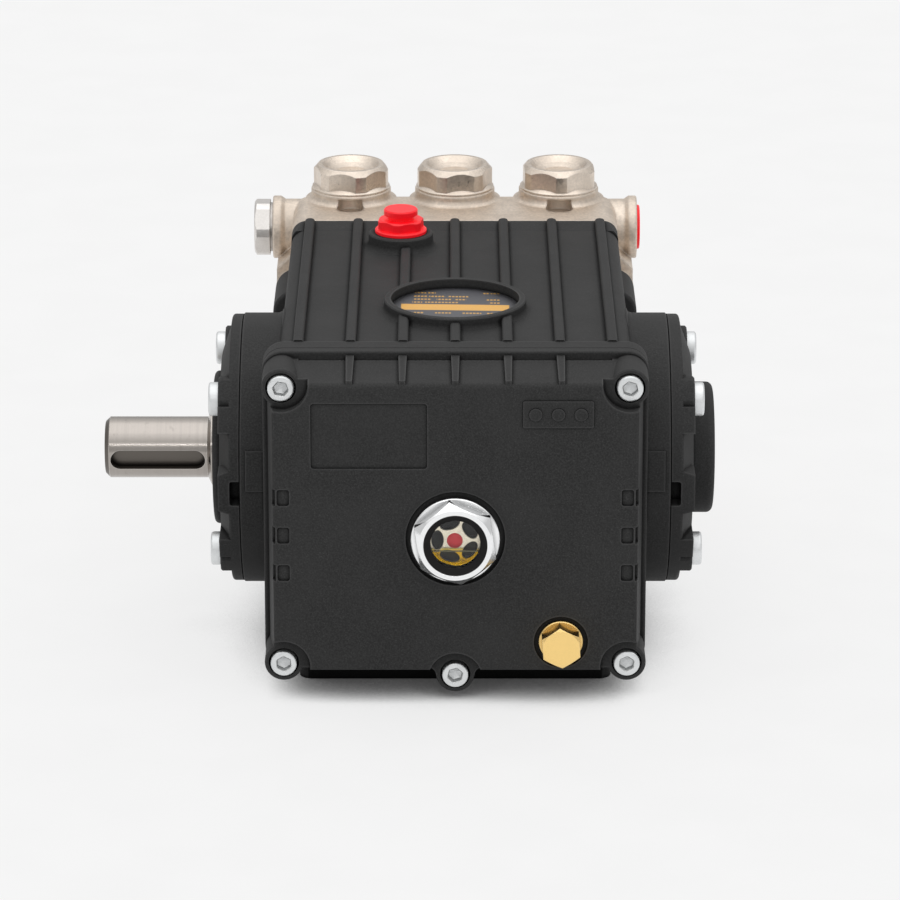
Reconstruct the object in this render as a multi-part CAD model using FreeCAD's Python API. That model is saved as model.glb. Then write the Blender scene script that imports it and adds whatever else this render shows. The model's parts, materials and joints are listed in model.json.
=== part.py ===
import FreeCAD, Part
import math
import os

# Triplex plunger pump on its foot, crank drive end to the left, valve head at the far side.
# Every shape is drawn about the shaft's axis: X along the shaft, Y towards the valve head, Z up.
# The finished shapes are then lifted so that the foot stands on z = 0 under the shaft's middle.

V = FreeCAD.Vector
X_AXIS = V(1, 0, 0)
Y_AXIS = V(0, 1, 0)
Z_AXIS = V(0, 0, 1)
ORIGIN = V(0, 0, 0)
DIAGONAL = math.sqrt(0.5)
FLARE_KNEE = 1 - DIAGONAL
HEX_SIDES = 6

# How far a buried end or a cutter runs on past the face it belongs to
overrun = 1.0

# How near an edge must lie to a plane or a ring to be picked for rounding
near = 0.01

# Heights and the overall stance
shaft_height = 74.0
foot_rise = 4.0
foot_half_width = 60.0
foot_rear = -60.0
foot_front = 108.0
foot_relief_half_width = 34.0
foot_relief_rear = 10.0
foot_relief_front = 84.0
foot_relief_depth = 3.0
foot_corner = 5.0
foot_hole_x = 47.0
foot_hole_rear = -38.0
foot_hole_front = 86.0
foot_thread_drill = 6.8
foot_thread_depth = 16.0

# Crankcase casting
case_half_width = 67.0
case_rear = -52.0
case_front = 114.0
case_top = 57.6
case_bottom = foot_rise - shaft_height
case_corner = 6.0
case_crown_run = 9.5
case_crown_rise = 1.5
casting_edge = 1.5
flange_half_width = 72.9
flange_top = 60.0
flange_bottom = -66.4
flange_corner = 8.0
joint_plane = -60.0
head_block_rear = 82.0
head_block_half_width = 74.0
head_block_top = 38.6
head_block_corner = 9.0
side_boss_diameter = 105.5
side_boss_face = 82.4
side_boss_flare = 2.0
side_boss_edge = 0.2
parting_patch_height = 15.7
parting_patch_rise = 0.6
parting_patch_end = 80.3

# Ribs on top of the crankcase
rib_pitch = 19.83
rib_count = 7
rib_width = 4.0
rib_top = 60.6
rib_front = 113.7
rib_end_round = 1.9
rib_round = 1.1

# Raised ring for the rating plate
ring_y = -2.5
ring_diameter = 55.1
ring_wall = 2.6
ring_top = 62.0
ring_flare = 1.6
ring_edge = 0.5
plate_thickness = 0.7
plate_clearance = 0.15

# Oil filler on the third rib
filler_x = -21.9
filler_y = 83.6
filler_boss_diameter = 26.1
filler_boss_top = 63.5
filler_boss_flare = 2.4
filler_boss_edge = 0.6
filler_bore_diameter = 17.0
filler_bore_depth = 14.0
filler_flange_diameter = 20.9
filler_flange_thickness = 1.5
filler_flange_edge = 0.5
filler_hex_across_flats = 17.4
filler_hex_height = 4.0
filler_hex_edge = 0.9
filler_hex_drop = 0.6
filler_hex_turn = -9.5
filler_neck_diameter = 10.4
filler_neck_height = 1.8
filler_disc_diameter = 13.7
filler_disc_thickness = 2.4
filler_disc_edge = 0.5
filler_thread_length = 9.0

# Rear cover
cover_face = -87.0
cover_face_half_width = 68.6
cover_face_top = 54.3
cover_face_bottom = -59.8
cover_foot_half_width = 71.0
cover_foot_top = 57.4
cover_foot_bottom = -63.2
cover_corner = 4.0
cover_top_edge = 2.2
cover_edge = 0.8
cover_lip_thickness = 4.5
joint_gap = 0.3
joint_gap_depth = 2.2
cover_groove_half_width = 59.0
cover_groove_width = 2.0
cover_groove_depth = 5.0
cover_lip_edge = 0.8
cover_rib_count = 5
cover_rib_width_at_lip = 3.2
cover_rib_width_at_face = 2.4
cover_rib_rise = 1.2
cover_rib_root = 4.8
cover_rib_end = 0.6
boss_face = -82.3
boss_diameter = 14.6
boss_scallop_diameter = 20.4
upper_scallop_rise = 2.1
boss_edge = 0.5
middle_boss_web = 3.3
corner_screw_x = 65.2
upper_screw_z = 51.4
lower_screw_z = -58.5
middle_screw_z = -63.2
cover_head_diameter = 11.5
cover_head_recess = 4.4
cover_screw_hole = 6.6
cover_thread_drill = 5.0
cover_thread_depth = 6.0

# Bare panel, small raised pad and finger dimples on the rear cover
panel_left = -54.1
panel_right = -10.6
panel_top = 46.7
panel_bottom = 21.1
panel_depth = 0.6
panel_corner = 1.2
badge_left = 25.2
badge_right = 51.7
badge_top = 47.9
badge_bottom = 37.3
badge_corner = 0.8
badge_rise = 0.5
badge_stud_diameter = 5.0
badge_stud_pitch = 8.5
badge_stud_rise = 0.4
dimple_inner = 62.4
dimple_width = 4.6
dimple_height = 6.4
dimple_corner = 1.0
dimple_depth = 0.8
dimple_slant = 1.3
dimple_notch = 0.9
dimple_notch_depth = 3.0
dimple_top_z = 9.5
dimple_pitch = 15.0
dimple_count = 3

# Sight glass in the rear cover
sight_z = -7.0
sight_pocket_diameter = 37.5
sight_pocket_depth = 2.5
sight_rim_diameter = 41.6
sight_rim_depth = 0.4
sight_seat_diameter = 31.0
sight_seat_sink = 0.3
sight_seat_depth = 5.5
sight_bore_diameter = 26.4
sight_thread_clearance = 0.2
sight_flange_diameter = 33.5
sight_flange_thickness = 2.0
sight_hex_across_flats = 28.8
sight_hex_height = 5.5
sight_hex_edge = 2.8
sight_hex_drop = 2.8
sight_flange_edge = 0.4
sight_hex_turn = 8.0
sight_barrel_bore = 24.1
sight_inner_bore = 19.0
sight_glass_clearance = 0.05
sight_glass_thickness = 3.5
sight_seal_inner = 18.8
sight_seal_lip = 0.3
sight_reflector_thickness = 1.0
sight_reflector_holes = 5
sight_reflector_turn = 36.0
sight_hole_inner = 4.4
sight_hole_outer = 9.05
sight_hole_span = 7.8

# Drain plug in the rear cover
drain_x = 40.0
drain_z = -48.4
drain_recess_diameter = 20.5
drain_recess_depth = 1.5
drain_flange_diameter = 16.7
drain_flange_thickness = 1.8
drain_flange_edge = 0.3
drain_hex_across_flats = 14.0
drain_hex_height = 7.0
drain_hex_edge = 1.2
drain_hex_drop = 0.7
drain_hex_turn = 4.0
drain_thread_diameter = 12.0
drain_thread_length = 10.0
drain_thread_clearance = 0.2

# Bearing covers
bearing_cover_diameter = 104.6
bearing_rim_edge = 1.2
bearing_rim_land = 2.4
bearing_gap = 0.35
bearing_gap_depth = 2.5
bearing_screw_y = 32.3
bearing_screw_z = 30.5
bearing_lug_diameter = 17.6
bearing_lug_edge = 0.6
bearing_lug_shelf = 21.4
bearing_head_diameter = 13.8
bearing_head_recess = 4.2
bearing_screw_hole = 8.8
bearing_thread_drill = 6.8
bearing_thread_depth = 14.0
bearing_centre_diameter = 76.0
bearing_flank_round = 2.0
pry_block_top = 6.1
pry_block_ramp = 1.5
pry_block_bottom = -8.45
pry_block_fall = 1.3
pry_block_depth = 12.0
pry_slot_top = 3.6
pry_slot_bottom = -6.1
pry_slot_face = 86.4
pry_slot_depth = 9.0
pry_slot_corner = 1.0
closed_rim_face = 87.5
closed_centre_face = 91.8
closed_hub_diameter = 51.3
closed_hub_face = 100.8
closed_hub_edge = 2.5
seal_rim_face = 87.0
seal_centre_face = 90.9
seal_hub_diameter = 60.0
seal_hub_face = 94.1
seal_hub_edge = 1.8

# Crankshaft end and its seal
shaft_diameter = 24.0
shaft_end = 136.95
shaft_shoulder_start = 96.8
shaft_shoulder_end = 95.3
seal_land_diameter = 30.0
seal_land_length = 10.0
journal_diameter = 35.0
journal_end = 52.0
shaft_end_gap = 1.0
running_clearance = 0.05
shaft_chamfer = 1.8
key_width = 8.0
key_depth = 4.0
key_start = 97.65
key_length = 37.0
key_turn = 8.0
seal_diameter = 42.0
seal_width = 7.0
seal_face_inset = 0.8
seal_groove = 1.6
seal_lip = 0.4

# Valve head
head_mount_face = 114.0
head_front = 170.0
head_half_width = 74.3
head_top = 33.0
head_bottom = -46.0
head_edge = 6.0
valve_pitch = 43.35
valve_count = 3
delivery_axis_y = 150.0
deck_top = case_top + case_crown_rise
gallery_y = 147.4
gallery_z = 39.5
gallery_diameter = 2 * (deck_top - gallery_z)
gallery_inset = 7.3
gallery_half_width = head_half_width - gallery_inset
gallery_round = 6.0
gallery_port_root = gallery_half_width - 7.0
gusset_inset = 0.3
gusset_reach = 1.0
gusset_top = 42.5
gusset_foot = 34.2
gusset_rear = 128.0
delivery_boss_diameter = 38.0
delivery_boss_top = 58.8
delivery_flare_diameter = 34.4
delivery_flare_top = 60.0
delivery_ring_foot = 61.3
delivery_ring_diameter = 33.2
delivery_ring_top = 63.6
ring_land_edge = 0.5
relief_diameter = 11.0
relief_reach = 18.0
relief_floor = 57.4
relief_roof = 62.2
suction_gallery_y = 148.0
suction_gallery_z = -46.0
suction_gallery_diameter = 34.0
suction_axis_z = -6.0
suction_boss_diameter = 38.0
suction_boss_face = 174.0
suction_boss_edge = 1.5
port_stand = 1.7
port_face = head_half_width + port_stand
port_slope = 1.9
port_ring_width = 3.3
port_edge = 0.4
delivery_port_z = 46.0
delivery_neck_diameter = 23.6
delivery_port_diameter = 26.2
delivery_port_bore = 18.7
suction_neck_diameter = 29.0
suction_port_diameter = 32.0
suction_port_bore = 21.0
port_depth = 13.0
head_screw_x_inner = 21.675
head_screw_inset = 9.3
head_screw_x_outer = head_half_width - head_screw_inset
head_screw_upper_z = 24.0
head_screw_lower_z = -36.0
head_screw_hole = 8.8

# Diameter over the turned-down corners of a hexagon, for each mm across its flats
turned_corner = 1.076

# Valve caps screwed into the head
cap_thread_diameter = 22.0
cap_thread_length = 10.0
cap_bore_depth = 12.0
cap_bore_clearance = 0.2
cap_collar_diameter = 32.3
cap_collar_land = 0.7
cap_collar_height = 2.1
cap_collar_top = 28.6
cap_across_flats = 29.0
cap_hex_height = 8.0
cap_edge = 2.0
cap_edge_drop = 2.3
cap_dish_diameter = 24.0
cap_dish_knee = 19.4
cap_dish_knee_depth = 2.2
cap_dish_floor = 13.1
cap_dish_depth = 3.4
cap_turns = (16.5, -20.6, 3.5)

# Plugs in the ports
plug_fit = 0.1
plug_edge = 1.2
plug_edge_drop = 0.9
plug_turn = 2.6
washer_thickness = 1.2
washer_diameter = 20.5
delivery_plug_across_flats = 22.0
delivery_plug_head = 6.5
suction_plug_across_flats = 27.0
suction_plug_head = 7.5
suction_washer_diameter = 30.0
plug_thread_length = 10.0
cap_plug_proud = 1.3
cap_plug_length = 9.0
cap_plug_dish = 1.0
cap_plug_wall = 1.6
cap_plug_edge = 0.4


def cylinder(diameter, length, base, direction):
    """Round bar from its base centre along a direction."""
    return Part.makeCylinder(diameter / 2, length, base, direction)


def block(x0, x1, y0, y1, z0, z1):
    """Rectangular block between two corners."""
    return Part.makeBox(x1 - x0, y1 - y0, z1 - z0, V(x0, y0, z0))


def rounded_outline(half_width, bottom, top, radius, y):
    """Closed outline of a rounded rectangle in the plane of one y."""
    left, right = -half_width, half_width
    step = radius * (1 - DIAGONAL)
    corners = [
        (V(right - radius, y, bottom), V(right - step, y, bottom + step), V(right, y, bottom + radius)),
        (V(right, y, top - radius), V(right - step, y, top - step), V(right - radius, y, top)),
        (V(left + radius, y, top), V(left + step, y, top - step), V(left, y, top - radius)),
        (V(left, y, bottom + radius), V(left + step, y, bottom + step), V(left + radius, y, bottom)),
    ]
    edges = []
    for index, corner in enumerate(corners):
        edges.append(Part.Arc(*corner).toShape())
        following = corners[(index + 1) % len(corners)]
        edges.append(Part.makeLine(corner[2], following[0]))
    return Part.Wire(edges)


def rounded_prism(half_width, bottom, top, radius, y0, y1):
    """Rounded rectangle carried along Y."""
    face = Part.Face(rounded_outline(half_width, bottom, top, radius, y0))
    return face.extrude(V(0, y1 - y0, 0))


def revolved(points, direction):
    """Solid of revolution of (radius, height) points about an axis through the origin."""
    if direction == Z_AXIS:
        corners = [V(radius, 0, height) for radius, height in points]
    elif direction == X_AXIS:
        corners = [V(height, -radius, 0) for radius, height in points]
    else:
        corners = [V(radius, height, 0) for radius, height in points]
    outline = Part.makePolygon(corners + [corners[0]])
    return Part.Face(outline).revolve(ORIGIN, direction, 360)


def bevelled_bar(diameter, bottom, top, edge):
    """Upright round bar about Z with a small bevel round its top."""
    radius = diameter / 2
    return revolved([(0, bottom), (radius, bottom), (radius, top - edge), (radius - edge, top), (0, top)],
                    Z_AXIS)


def rounded_bar(diameter, bottom, top, edge):
    """Upright round bar about Z with a rounded top edge."""
    bar = cylinder(diameter, top - bottom, V(0, 0, bottom), Z_AXIS)
    return rounded_rings(bar, Z_AXIS, [(top, diameter / 2, edge)])


def round_boss(diameter, base, top, flare, edge):
    """Upright boss about Z, sunk past its base plane, with a hollow flare there and a bevelled top."""
    radius = diameter / 2
    wide = radius + flare
    hollow = V(wide - flare * DIAGONAL, 0, base + flare - flare * DIAGONAL)
    edges = [
        Part.makeLine(V(0, 0, base - overrun), V(wide, 0, base - overrun)),
        Part.makeLine(V(wide, 0, base - overrun), V(wide, 0, base)),
        Part.Arc(V(wide, 0, base), hollow, V(radius, 0, base + flare)).toShape(),
        Part.makeLine(V(radius, 0, base + flare), V(0, 0, base + flare)),
        Part.makeLine(V(0, 0, base + flare), V(0, 0, base - overrun)),
    ]
    skirt = Part.Face(Part.Wire(edges)).revolve(ORIGIN, Z_AXIS, 360)
    return fused([skirt, bevelled_bar(diameter, base - overrun, top, edge)])


def sharp_corner(across_flats):
    """Diameter over the sharp corners of a hexagon."""
    return across_flats / math.cos(math.pi / HEX_SIDES)


def hexagon(across_flats, corner, height, edge, drop, turn):
    """Hexagon bar standing on z = 0, turned down to a corner diameter and bevelled round its top."""
    sharp = sharp_corner(across_flats) / 2
    corners = []
    for index in range(HEX_SIDES):
        angle = math.radians(360 / HEX_SIDES * index + turn - 90)
        corners.append(V(sharp * math.cos(angle), sharp * math.sin(angle), 0))
    bar = Part.Face(Part.makePolygon(corners + [corners[0]])).extrude(V(0, 0, height))
    radius = corner / 2
    cone = revolved([(0, 0), (radius, 0), (radius, height - drop), (radius - edge, height), (0, height)],
                    Z_AXIS)
    return bar.common(cone)


def turned_to(shape, direction, place):
    """Shape drawn upright on z = 0, turned so that its top points along a direction."""
    turned = shape.copy()
    turned.Placement = FreeCAD.Placement(place, FreeCAD.Rotation(Z_AXIS, direction))
    return turned


def fused(shapes):
    """One solid from several that meet, with the seams between them removed."""
    return shapes[0].multiFuse(shapes[1:]).removeSplitter()


def edges_where(shape, test):
    """Edges of a shape whose centre and bounding box pass a test."""
    return [edge for edge in shape.Edges if test(edge.CenterOfMass, edge.BoundBox)]


def ring_edges(shape, axis, place, radius):
    """Round edges of a turned shape at one place along its axis and of one radius."""
    found = []
    for edge in shape.Edges:
        if isinstance(edge.Curve, Part.Circle):
            along = edge.Curve.Center.dot(axis)
            if abs(along - place) < near and abs(edge.Curve.Radius - radius) < near:
                found.append(edge)
    return found


def rounded_rings(shape, axis, rings):
    """Turned shape with each (place, radius, rounding) ring edge rounded."""
    for place, radius, rounding in rings:
        shape = shape.makeFillet(rounding, ring_edges(shape, axis, place, radius))
    return shape


def valve_places():
    """X of each of the valve caps, from the left."""
    middle = (valve_count - 1) / 2
    return [(index - middle) * valve_pitch for index in range(valve_count)]


def cover_screw_places():
    """X and z of the screws that hold the rear cover."""
    return [(-corner_screw_x, upper_screw_z), (corner_screw_x, upper_screw_z),
            (-corner_screw_x, lower_screw_z), (corner_screw_x, lower_screw_z),
            (0.0, middle_screw_z)]


def bearing_screw_places():
    """Y and z of the screws that hold a bearing cover."""
    return [(y, z) for y in (-bearing_screw_y, bearing_screw_y)
            for z in (-bearing_screw_z, bearing_screw_z)]


def head_screw_places():
    """X and z of the screws that hold the valve head."""
    places = []
    for z in (head_screw_upper_z, head_screw_lower_z):
        for x in (head_screw_x_inner, head_screw_x_outer):
            places += [(-x, z), (x, z)]
    return places


def case_body():
    """Main box of the crankcase, sloping up a little to its far end."""
    slope_start = case_front - case_crown_run
    crest = case_top + case_crown_rise
    body = rounded_prism(case_half_width, case_bottom, case_top, case_corner, case_rear, case_front)
    crown = rounded_prism(case_half_width, case_bottom, crest, case_corner, slope_start, case_front)
    above = Part.makePolygon([
        V(-case_half_width, slope_start, case_top),
        V(-case_half_width, case_front, crest),
        V(-case_half_width, case_front, crest + overrun),
        V(-case_half_width, slope_start, crest + overrun),
        V(-case_half_width, slope_start, case_top)])
    return fused([body, crown.cut(Part.Face(above).extrude(V(2 * case_half_width, 0, 0)))])


def case_rib(x):
    """One rounded rib along the top of the crankcase."""
    rib = block(x - rib_width / 2, x + rib_width / 2, case_rear, rib_front, case_top - overrun, rib_top)
    far_corners = edges_where(rib, lambda c, b: c.y > rib_front - near and b.ZLength > near)
    rib = rib.makeFillet(rib_end_round, far_corners)
    crest = edges_where(rib, lambda c, b: b.ZMin > rib_top - near and c.y > case_rear + near)
    return rib.makeFillet(rib_round, crest)


def side_boss():
    """Round bearing boss on the right of the crankcase, flared into the wall, with its parting patch."""
    radius = side_boss_diameter / 2
    root = case_half_width - overrun
    boss = revolved([(0, root), (radius + side_boss_flare, root),
                     (radius + side_boss_flare, case_half_width),
                     (radius + side_boss_flare * FLARE_KNEE, case_half_width + side_boss_flare * FLARE_KNEE),
                     (radius, case_half_width + side_boss_flare), (radius, side_boss_face - side_boss_edge),
                     (radius - side_boss_edge, side_boss_face), (0, side_boss_face)], X_AXIS)
    patch = cylinder(side_boss_diameter + 2 * parting_patch_rise, parting_patch_end - case_half_width,
                     V(case_half_width, 0, 0), X_AXIS)
    window = block(case_half_width, parting_patch_end, -side_boss_diameter, 0, 0, parting_patch_height)
    return fused([boss, patch.common(window)])


def case_feet():
    """Foot under the crankcase with a shallow relief in its underside."""
    foot = block(-foot_half_width, foot_half_width, foot_rear, foot_front,
                 -shaft_height, case_bottom + overrun)
    corners = edges_where(foot, lambda c, b: b.ZLength > near)
    foot = foot.makeFillet(foot_corner, corners)
    relief = block(-foot_relief_half_width, foot_relief_half_width, foot_relief_rear, foot_relief_front,
                   -shaft_height, -shaft_height + foot_relief_depth)
    rounded = edges_where(relief, lambda c, b: b.ZLength > near)
    return foot.cut(relief.makeFillet(foot_corner, rounded))


def case_cuts():
    """Pockets, bores and tapped holes of the crankcase."""
    pocket = cylinder(ring_diameter - 2 * ring_wall, ring_top - case_top + overrun,
                      V(0, ring_y, case_top), Z_AXIS)
    filler_bore = cylinder(filler_bore_diameter, filler_bore_depth + overrun,
                           V(filler_x, filler_y, filler_boss_top - filler_bore_depth), Z_AXIS)
    journal_bore = cylinder(journal_diameter + 2 * running_clearance, side_boss_face - journal_end + overrun,
                            V(-side_boss_face - overrun, 0, 0), X_AXIS)
    cuts = [pocket, filler_bore, journal_bore]
    for x, z in cover_screw_places():
        cuts.append(cylinder(cover_thread_drill, cover_thread_depth, V(x, joint_plane, z), Y_AXIS))
    for y, z in bearing_screw_places():
        for side in (-1, 1):
            cuts.append(cylinder(bearing_thread_drill, bearing_thread_depth,
                                 V(side * side_boss_face, y, z), X_AXIS * -side))
    for x in (-foot_hole_x, foot_hole_x):
        for y in (foot_hole_rear, foot_hole_front):
            cuts.append(cylinder(foot_thread_drill, foot_thread_depth, V(x, y, -shaft_height), Z_AXIS))
    return cuts


def crankcase():
    """Crankcase casting with its ribs, bosses, plate ring, filler boss and foot."""
    flange = rounded_prism(flange_half_width, flange_bottom, flange_top, flange_corner,
                           joint_plane, case_rear)
    lobe = cylinder(boss_diameter, case_rear - joint_plane, V(0, joint_plane, middle_screw_z), Y_AXIS)
    head_block = rounded_prism(head_block_half_width, case_bottom, head_block_top, head_block_corner,
                               head_block_rear, case_front)
    shoulder = edges_where(head_block, lambda c, b: b.YLength < near and c.y < head_block_rear + near)
    head_block = head_block.makeFillet(casting_edge, shoulder)
    right_boss = side_boss()
    left_boss = right_boss.mirror(ORIGIN, X_AXIS)
    first_rib = -(rib_count - 1) / 2 * rib_pitch
    ribs = [case_rib(first_rib + index * rib_pitch) for index in range(rib_count)]
    ring = round_boss(ring_diameter, case_top, ring_top, ring_flare, ring_edge)
    ring.translate(V(0, ring_y, 0))
    filler = round_boss(filler_boss_diameter, case_top, filler_boss_top, filler_boss_flare, filler_boss_edge)
    filler.translate(V(filler_x, filler_y, 0))
    case = fused([case_body(), flange, lobe, head_block, right_boss, left_boss, ring, filler, case_feet()]
                 + ribs)
    return case.cut(case_cuts())


def cover_rib(x):
    """One tapered rib down the sloping top of the rear cover."""
    lip_face = joint_plane - cover_lip_thickness
    end = cover_face + cover_rib_end
    slope = (cover_foot_top - cover_face_top) / (lip_face - cover_face)
    lip_top = cover_foot_top + cover_rib_rise
    end_top = lip_top + slope * (end - lip_face)
    side = Part.makePolygon([V(0, lip_face, lip_top), V(0, end, end_top),
                             V(0, end, end_top - cover_rib_root), V(0, lip_face, lip_top - cover_rib_root),
                             V(0, lip_face, lip_top)])
    web = Part.Face(side).extrude(V(2 * cover_rib_width_at_lip, 0, 0))
    web.translate(V(x - cover_rib_width_at_lip, 0, 0))
    wide, narrow = cover_rib_width_at_lip / 2, cover_rib_width_at_face / 2
    plan = Part.makePolygon([V(x - wide, lip_face, 0), V(x + wide, lip_face, 0), V(x + narrow, end, 0),
                             V(x - narrow, end, 0), V(x - wide, lip_face, 0)])
    return web.common(Part.Face(plan).extrude(V(0, 0, 2 * cover_foot_top)))


def badge_pad():
    """Small raised pad on the rear cover with three plain round studs on it."""
    middle_x = (badge_left + badge_right) / 2
    middle_z = (badge_bottom + badge_top) / 2
    front = cover_face - badge_rise - badge_stud_rise
    pad = rounded_prism((badge_right - badge_left) / 2, badge_bottom, badge_top, badge_corner,
                        cover_face - badge_rise, cover_face + overrun)
    pad.translate(V(middle_x, 0, 0))
    pieces = [pad]
    for index in (-1, 0, 1):
        pieces.append(cylinder(badge_stud_diameter, cover_face - front,
                               V(middle_x + index * badge_stud_pitch, front, middle_z), Y_AXIS))
    return pieces


def cover_dimple(side, middle):
    """Shallow finger dimple, and the notch beside it in the cover's side, slanted at its upper end."""
    half = dimple_height / 2
    beyond = side * (cover_foot_half_width + overrun)
    notch = side * (cover_face_half_width - dimple_notch)
    front = cover_face - overrun
    pocket = rounded_prism(dimple_width / 2, middle - half, middle + half, dimple_corner,
                           front, cover_face + dimple_depth)
    pocket.translate(V(side * (dimple_inner + dimple_width / 2), 0, 0))
    edge = Part.makePolygon([V(notch, front, middle + half), V(beyond, front, middle + half + dimple_slant),
                             V(beyond, front, middle - half), V(notch, front, middle - half),
                             V(notch, front, middle + half)])
    return [pocket, Part.Face(edge).extrude(V(0, overrun + dimple_notch_depth, 0))]


def cover_dimples():
    """Three finger dimples down each side of the rear cover's face."""
    dimples = []
    for side in (-1, 1):
        for index in range(dimple_count):
            dimples += cover_dimple(side, dimple_top_z - index * dimple_pitch)
    return dimples


def boss_web():
    """Hollow-sided web that blends the bottom middle boss into the rear cover's wall."""
    lip_face = joint_plane - cover_lip_thickness
    draft = (cover_foot_bottom - cover_face_bottom) / (lip_face - cover_face)
    level = cover_face_bottom + draft * (boss_face - cover_face)
    wide = boss_diameter / 2 + middle_boss_web
    web = block(-wide, wide, boss_face, joint_plane, level - middle_boss_web, level + overrun)
    hollows = [cylinder(2 * middle_boss_web, joint_plane - boss_face,
                        V(side * wide, boss_face, level - middle_boss_web), Y_AXIS) for side in (-1, 1)]
    return web.cut(hollows)


def cover_holes():
    """Screw holes, pockets, bores and the bare panel of the rear cover."""
    cuts = []
    for x, z in cover_screw_places():
        cuts.append(cylinder(cover_head_diameter, cover_head_recess, V(x, boss_face, z), Y_AXIS))
        cuts.append(cylinder(cover_screw_hole, joint_plane - boss_face, V(x, boss_face, z), Y_AXIS))
    sight_pocket = revolved([(0, overrun), (sight_rim_diameter / 2, overrun), (sight_rim_diameter / 2, 0),
                             (sight_pocket_diameter / 2, -sight_rim_depth),
                             (sight_pocket_diameter / 2, -sight_pocket_depth),
                             (sight_seat_diameter / 2, -sight_pocket_depth),
                             (sight_seat_diameter / 2, -sight_seat_sink), (0, -sight_seat_sink)], Z_AXIS)
    cuts.append(turned_to(sight_pocket, -Y_AXIS, V(0, cover_face, sight_z)))
    cuts.append(cylinder(sight_bore_diameter, sight_seat_sink + sight_seat_depth,
                         V(0, cover_face, sight_z), Y_AXIS))
    cuts.append(cylinder(drain_recess_diameter, drain_recess_depth, V(drain_x, cover_face, drain_z), Y_AXIS))
    cuts.append(cylinder(drain_thread_diameter + 2 * drain_thread_clearance,
                         drain_recess_depth + drain_thread_length + overrun,
                         V(drain_x, cover_face, drain_z), Y_AXIS))
    panel = rounded_prism((panel_right - panel_left) / 2, panel_bottom, panel_top, panel_corner,
                          cover_face - overrun, cover_face + panel_depth)
    panel.translate(V((panel_left + panel_right) / 2, 0, 0))
    return cuts + [panel]


def joint_groove():
    """Narrow gap round the rear cover where it meets the crankcase."""
    start = joint_plane - joint_gap
    reach = flange_half_width + overrun
    slab = block(-reach, reach, start, joint_plane, case_bottom - boss_diameter, flange_top + overrun)
    middle = rounded_prism(flange_half_width - joint_gap_depth, flange_bottom + joint_gap_depth,
                           flange_top - joint_gap_depth, flange_corner - joint_gap_depth, start, joint_plane)
    lobe = cylinder(boss_diameter - 2 * joint_gap_depth, joint_gap, V(0, start, middle_screw_z), Y_AXIS)
    return slab.cut([middle, lobe])


def rear_cover():
    """Rear cover casting: lip, tapered pan, screw bosses, ribs, pockets and panels."""
    lip_face = joint_plane - cover_lip_thickness
    lip = rounded_prism(flange_half_width, flange_bottom, flange_top, flange_corner, lip_face, joint_plane)
    lip_rim = edges_where(lip, lambda c, b: b.YLength < near and c.y < lip_face + near)
    lip = lip.makeFillet(cover_lip_edge, lip_rim)
    pan = Part.makeLoft([
        rounded_outline(cover_foot_half_width, cover_foot_bottom, cover_foot_top, cover_corner, lip_face),
        rounded_outline(cover_face_half_width, cover_face_bottom, cover_face_top, cover_corner, cover_face),
    ], True, True)
    groove = block(-cover_groove_half_width, cover_groove_half_width,
                   lip_face - cover_groove_width, lip_face,
                   cover_foot_top - cover_groove_depth, cover_foot_top + overrun)
    scallops = [groove]
    bosses = []
    for x, z in cover_screw_places():
        rise = upper_scallop_rise if z > 0 else 0
        scallops.append(cylinder(boss_scallop_diameter, boss_face - cover_face + overrun,
                                 V(x, cover_face - overrun, z + rise), Y_AXIS))
        boss = bevelled_bar(boss_diameter, -joint_plane, -boss_face, boss_edge)
        bosses.append(turned_to(boss, -Y_AXIS, V(x, 0, z)))
    pan = pan.cut(scallops)
    top_edge = edges_where(pan, lambda c, b: b.YMax < cover_face + near and c.z > cover_face_top - near)
    pan = pan.makeFillet(cover_top_edge, top_edge)
    side_edges = edges_where(pan, lambda c, b: b.YMax < cover_face + near and b.ZLength > near > b.XLength)
    pan = pan.makeFillet(cover_edge, side_edges)
    low_edges = edges_where(pan, lambda c, b: b.YMax < cover_face + near and c.z < cover_face_bottom + near)
    pan = pan.makeFillet(cover_edge, low_edges)
    first_rib = -(cover_rib_count - 1) / 2 * rib_pitch
    ribs = [cover_rib(first_rib + index * rib_pitch) for index in range(cover_rib_count)]
    cover = fused([pan, lip, boss_web()] + bosses + ribs + badge_pad())
    return cover.cut(cover_holes() + cover_dimples() + [joint_groove()])


def pry_block(side, rim_face, crest):
    """Raised pry block at the cover's rim, with a short ramp at its upper and lower ends."""
    y = side * bearing_cover_diameter / 2
    outline = Part.makePolygon([
        V(side_boss_face, y, pry_block_top + pry_block_ramp),
        V(rim_face, y, pry_block_top + pry_block_ramp),
        V(crest, y, pry_block_top),
        V(crest, y, pry_block_bottom),
        V(rim_face, y, pry_block_bottom - pry_block_fall),
        V(side_boss_face, y, pry_block_bottom - pry_block_fall),
        V(side_boss_face, y, pry_block_top + pry_block_ramp)])
    return Part.Face(outline).extrude(V(0, -side * pry_block_depth, 0))


def pry_slot(side):
    """Cutter for the slot under a pry block."""
    radius = bearing_cover_diameter / 2
    y0, y1 = sorted((side * (radius + overrun), side * (radius - pry_slot_depth)))
    slot = block(side_boss_face, pry_slot_face, y0, y1, pry_slot_bottom, pry_slot_top)
    corners = edges_where(slot, lambda c, b: b.YLength > near and c.x > pry_slot_face - near)
    return slot.makeFillet(pry_slot_corner, corners)


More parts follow.
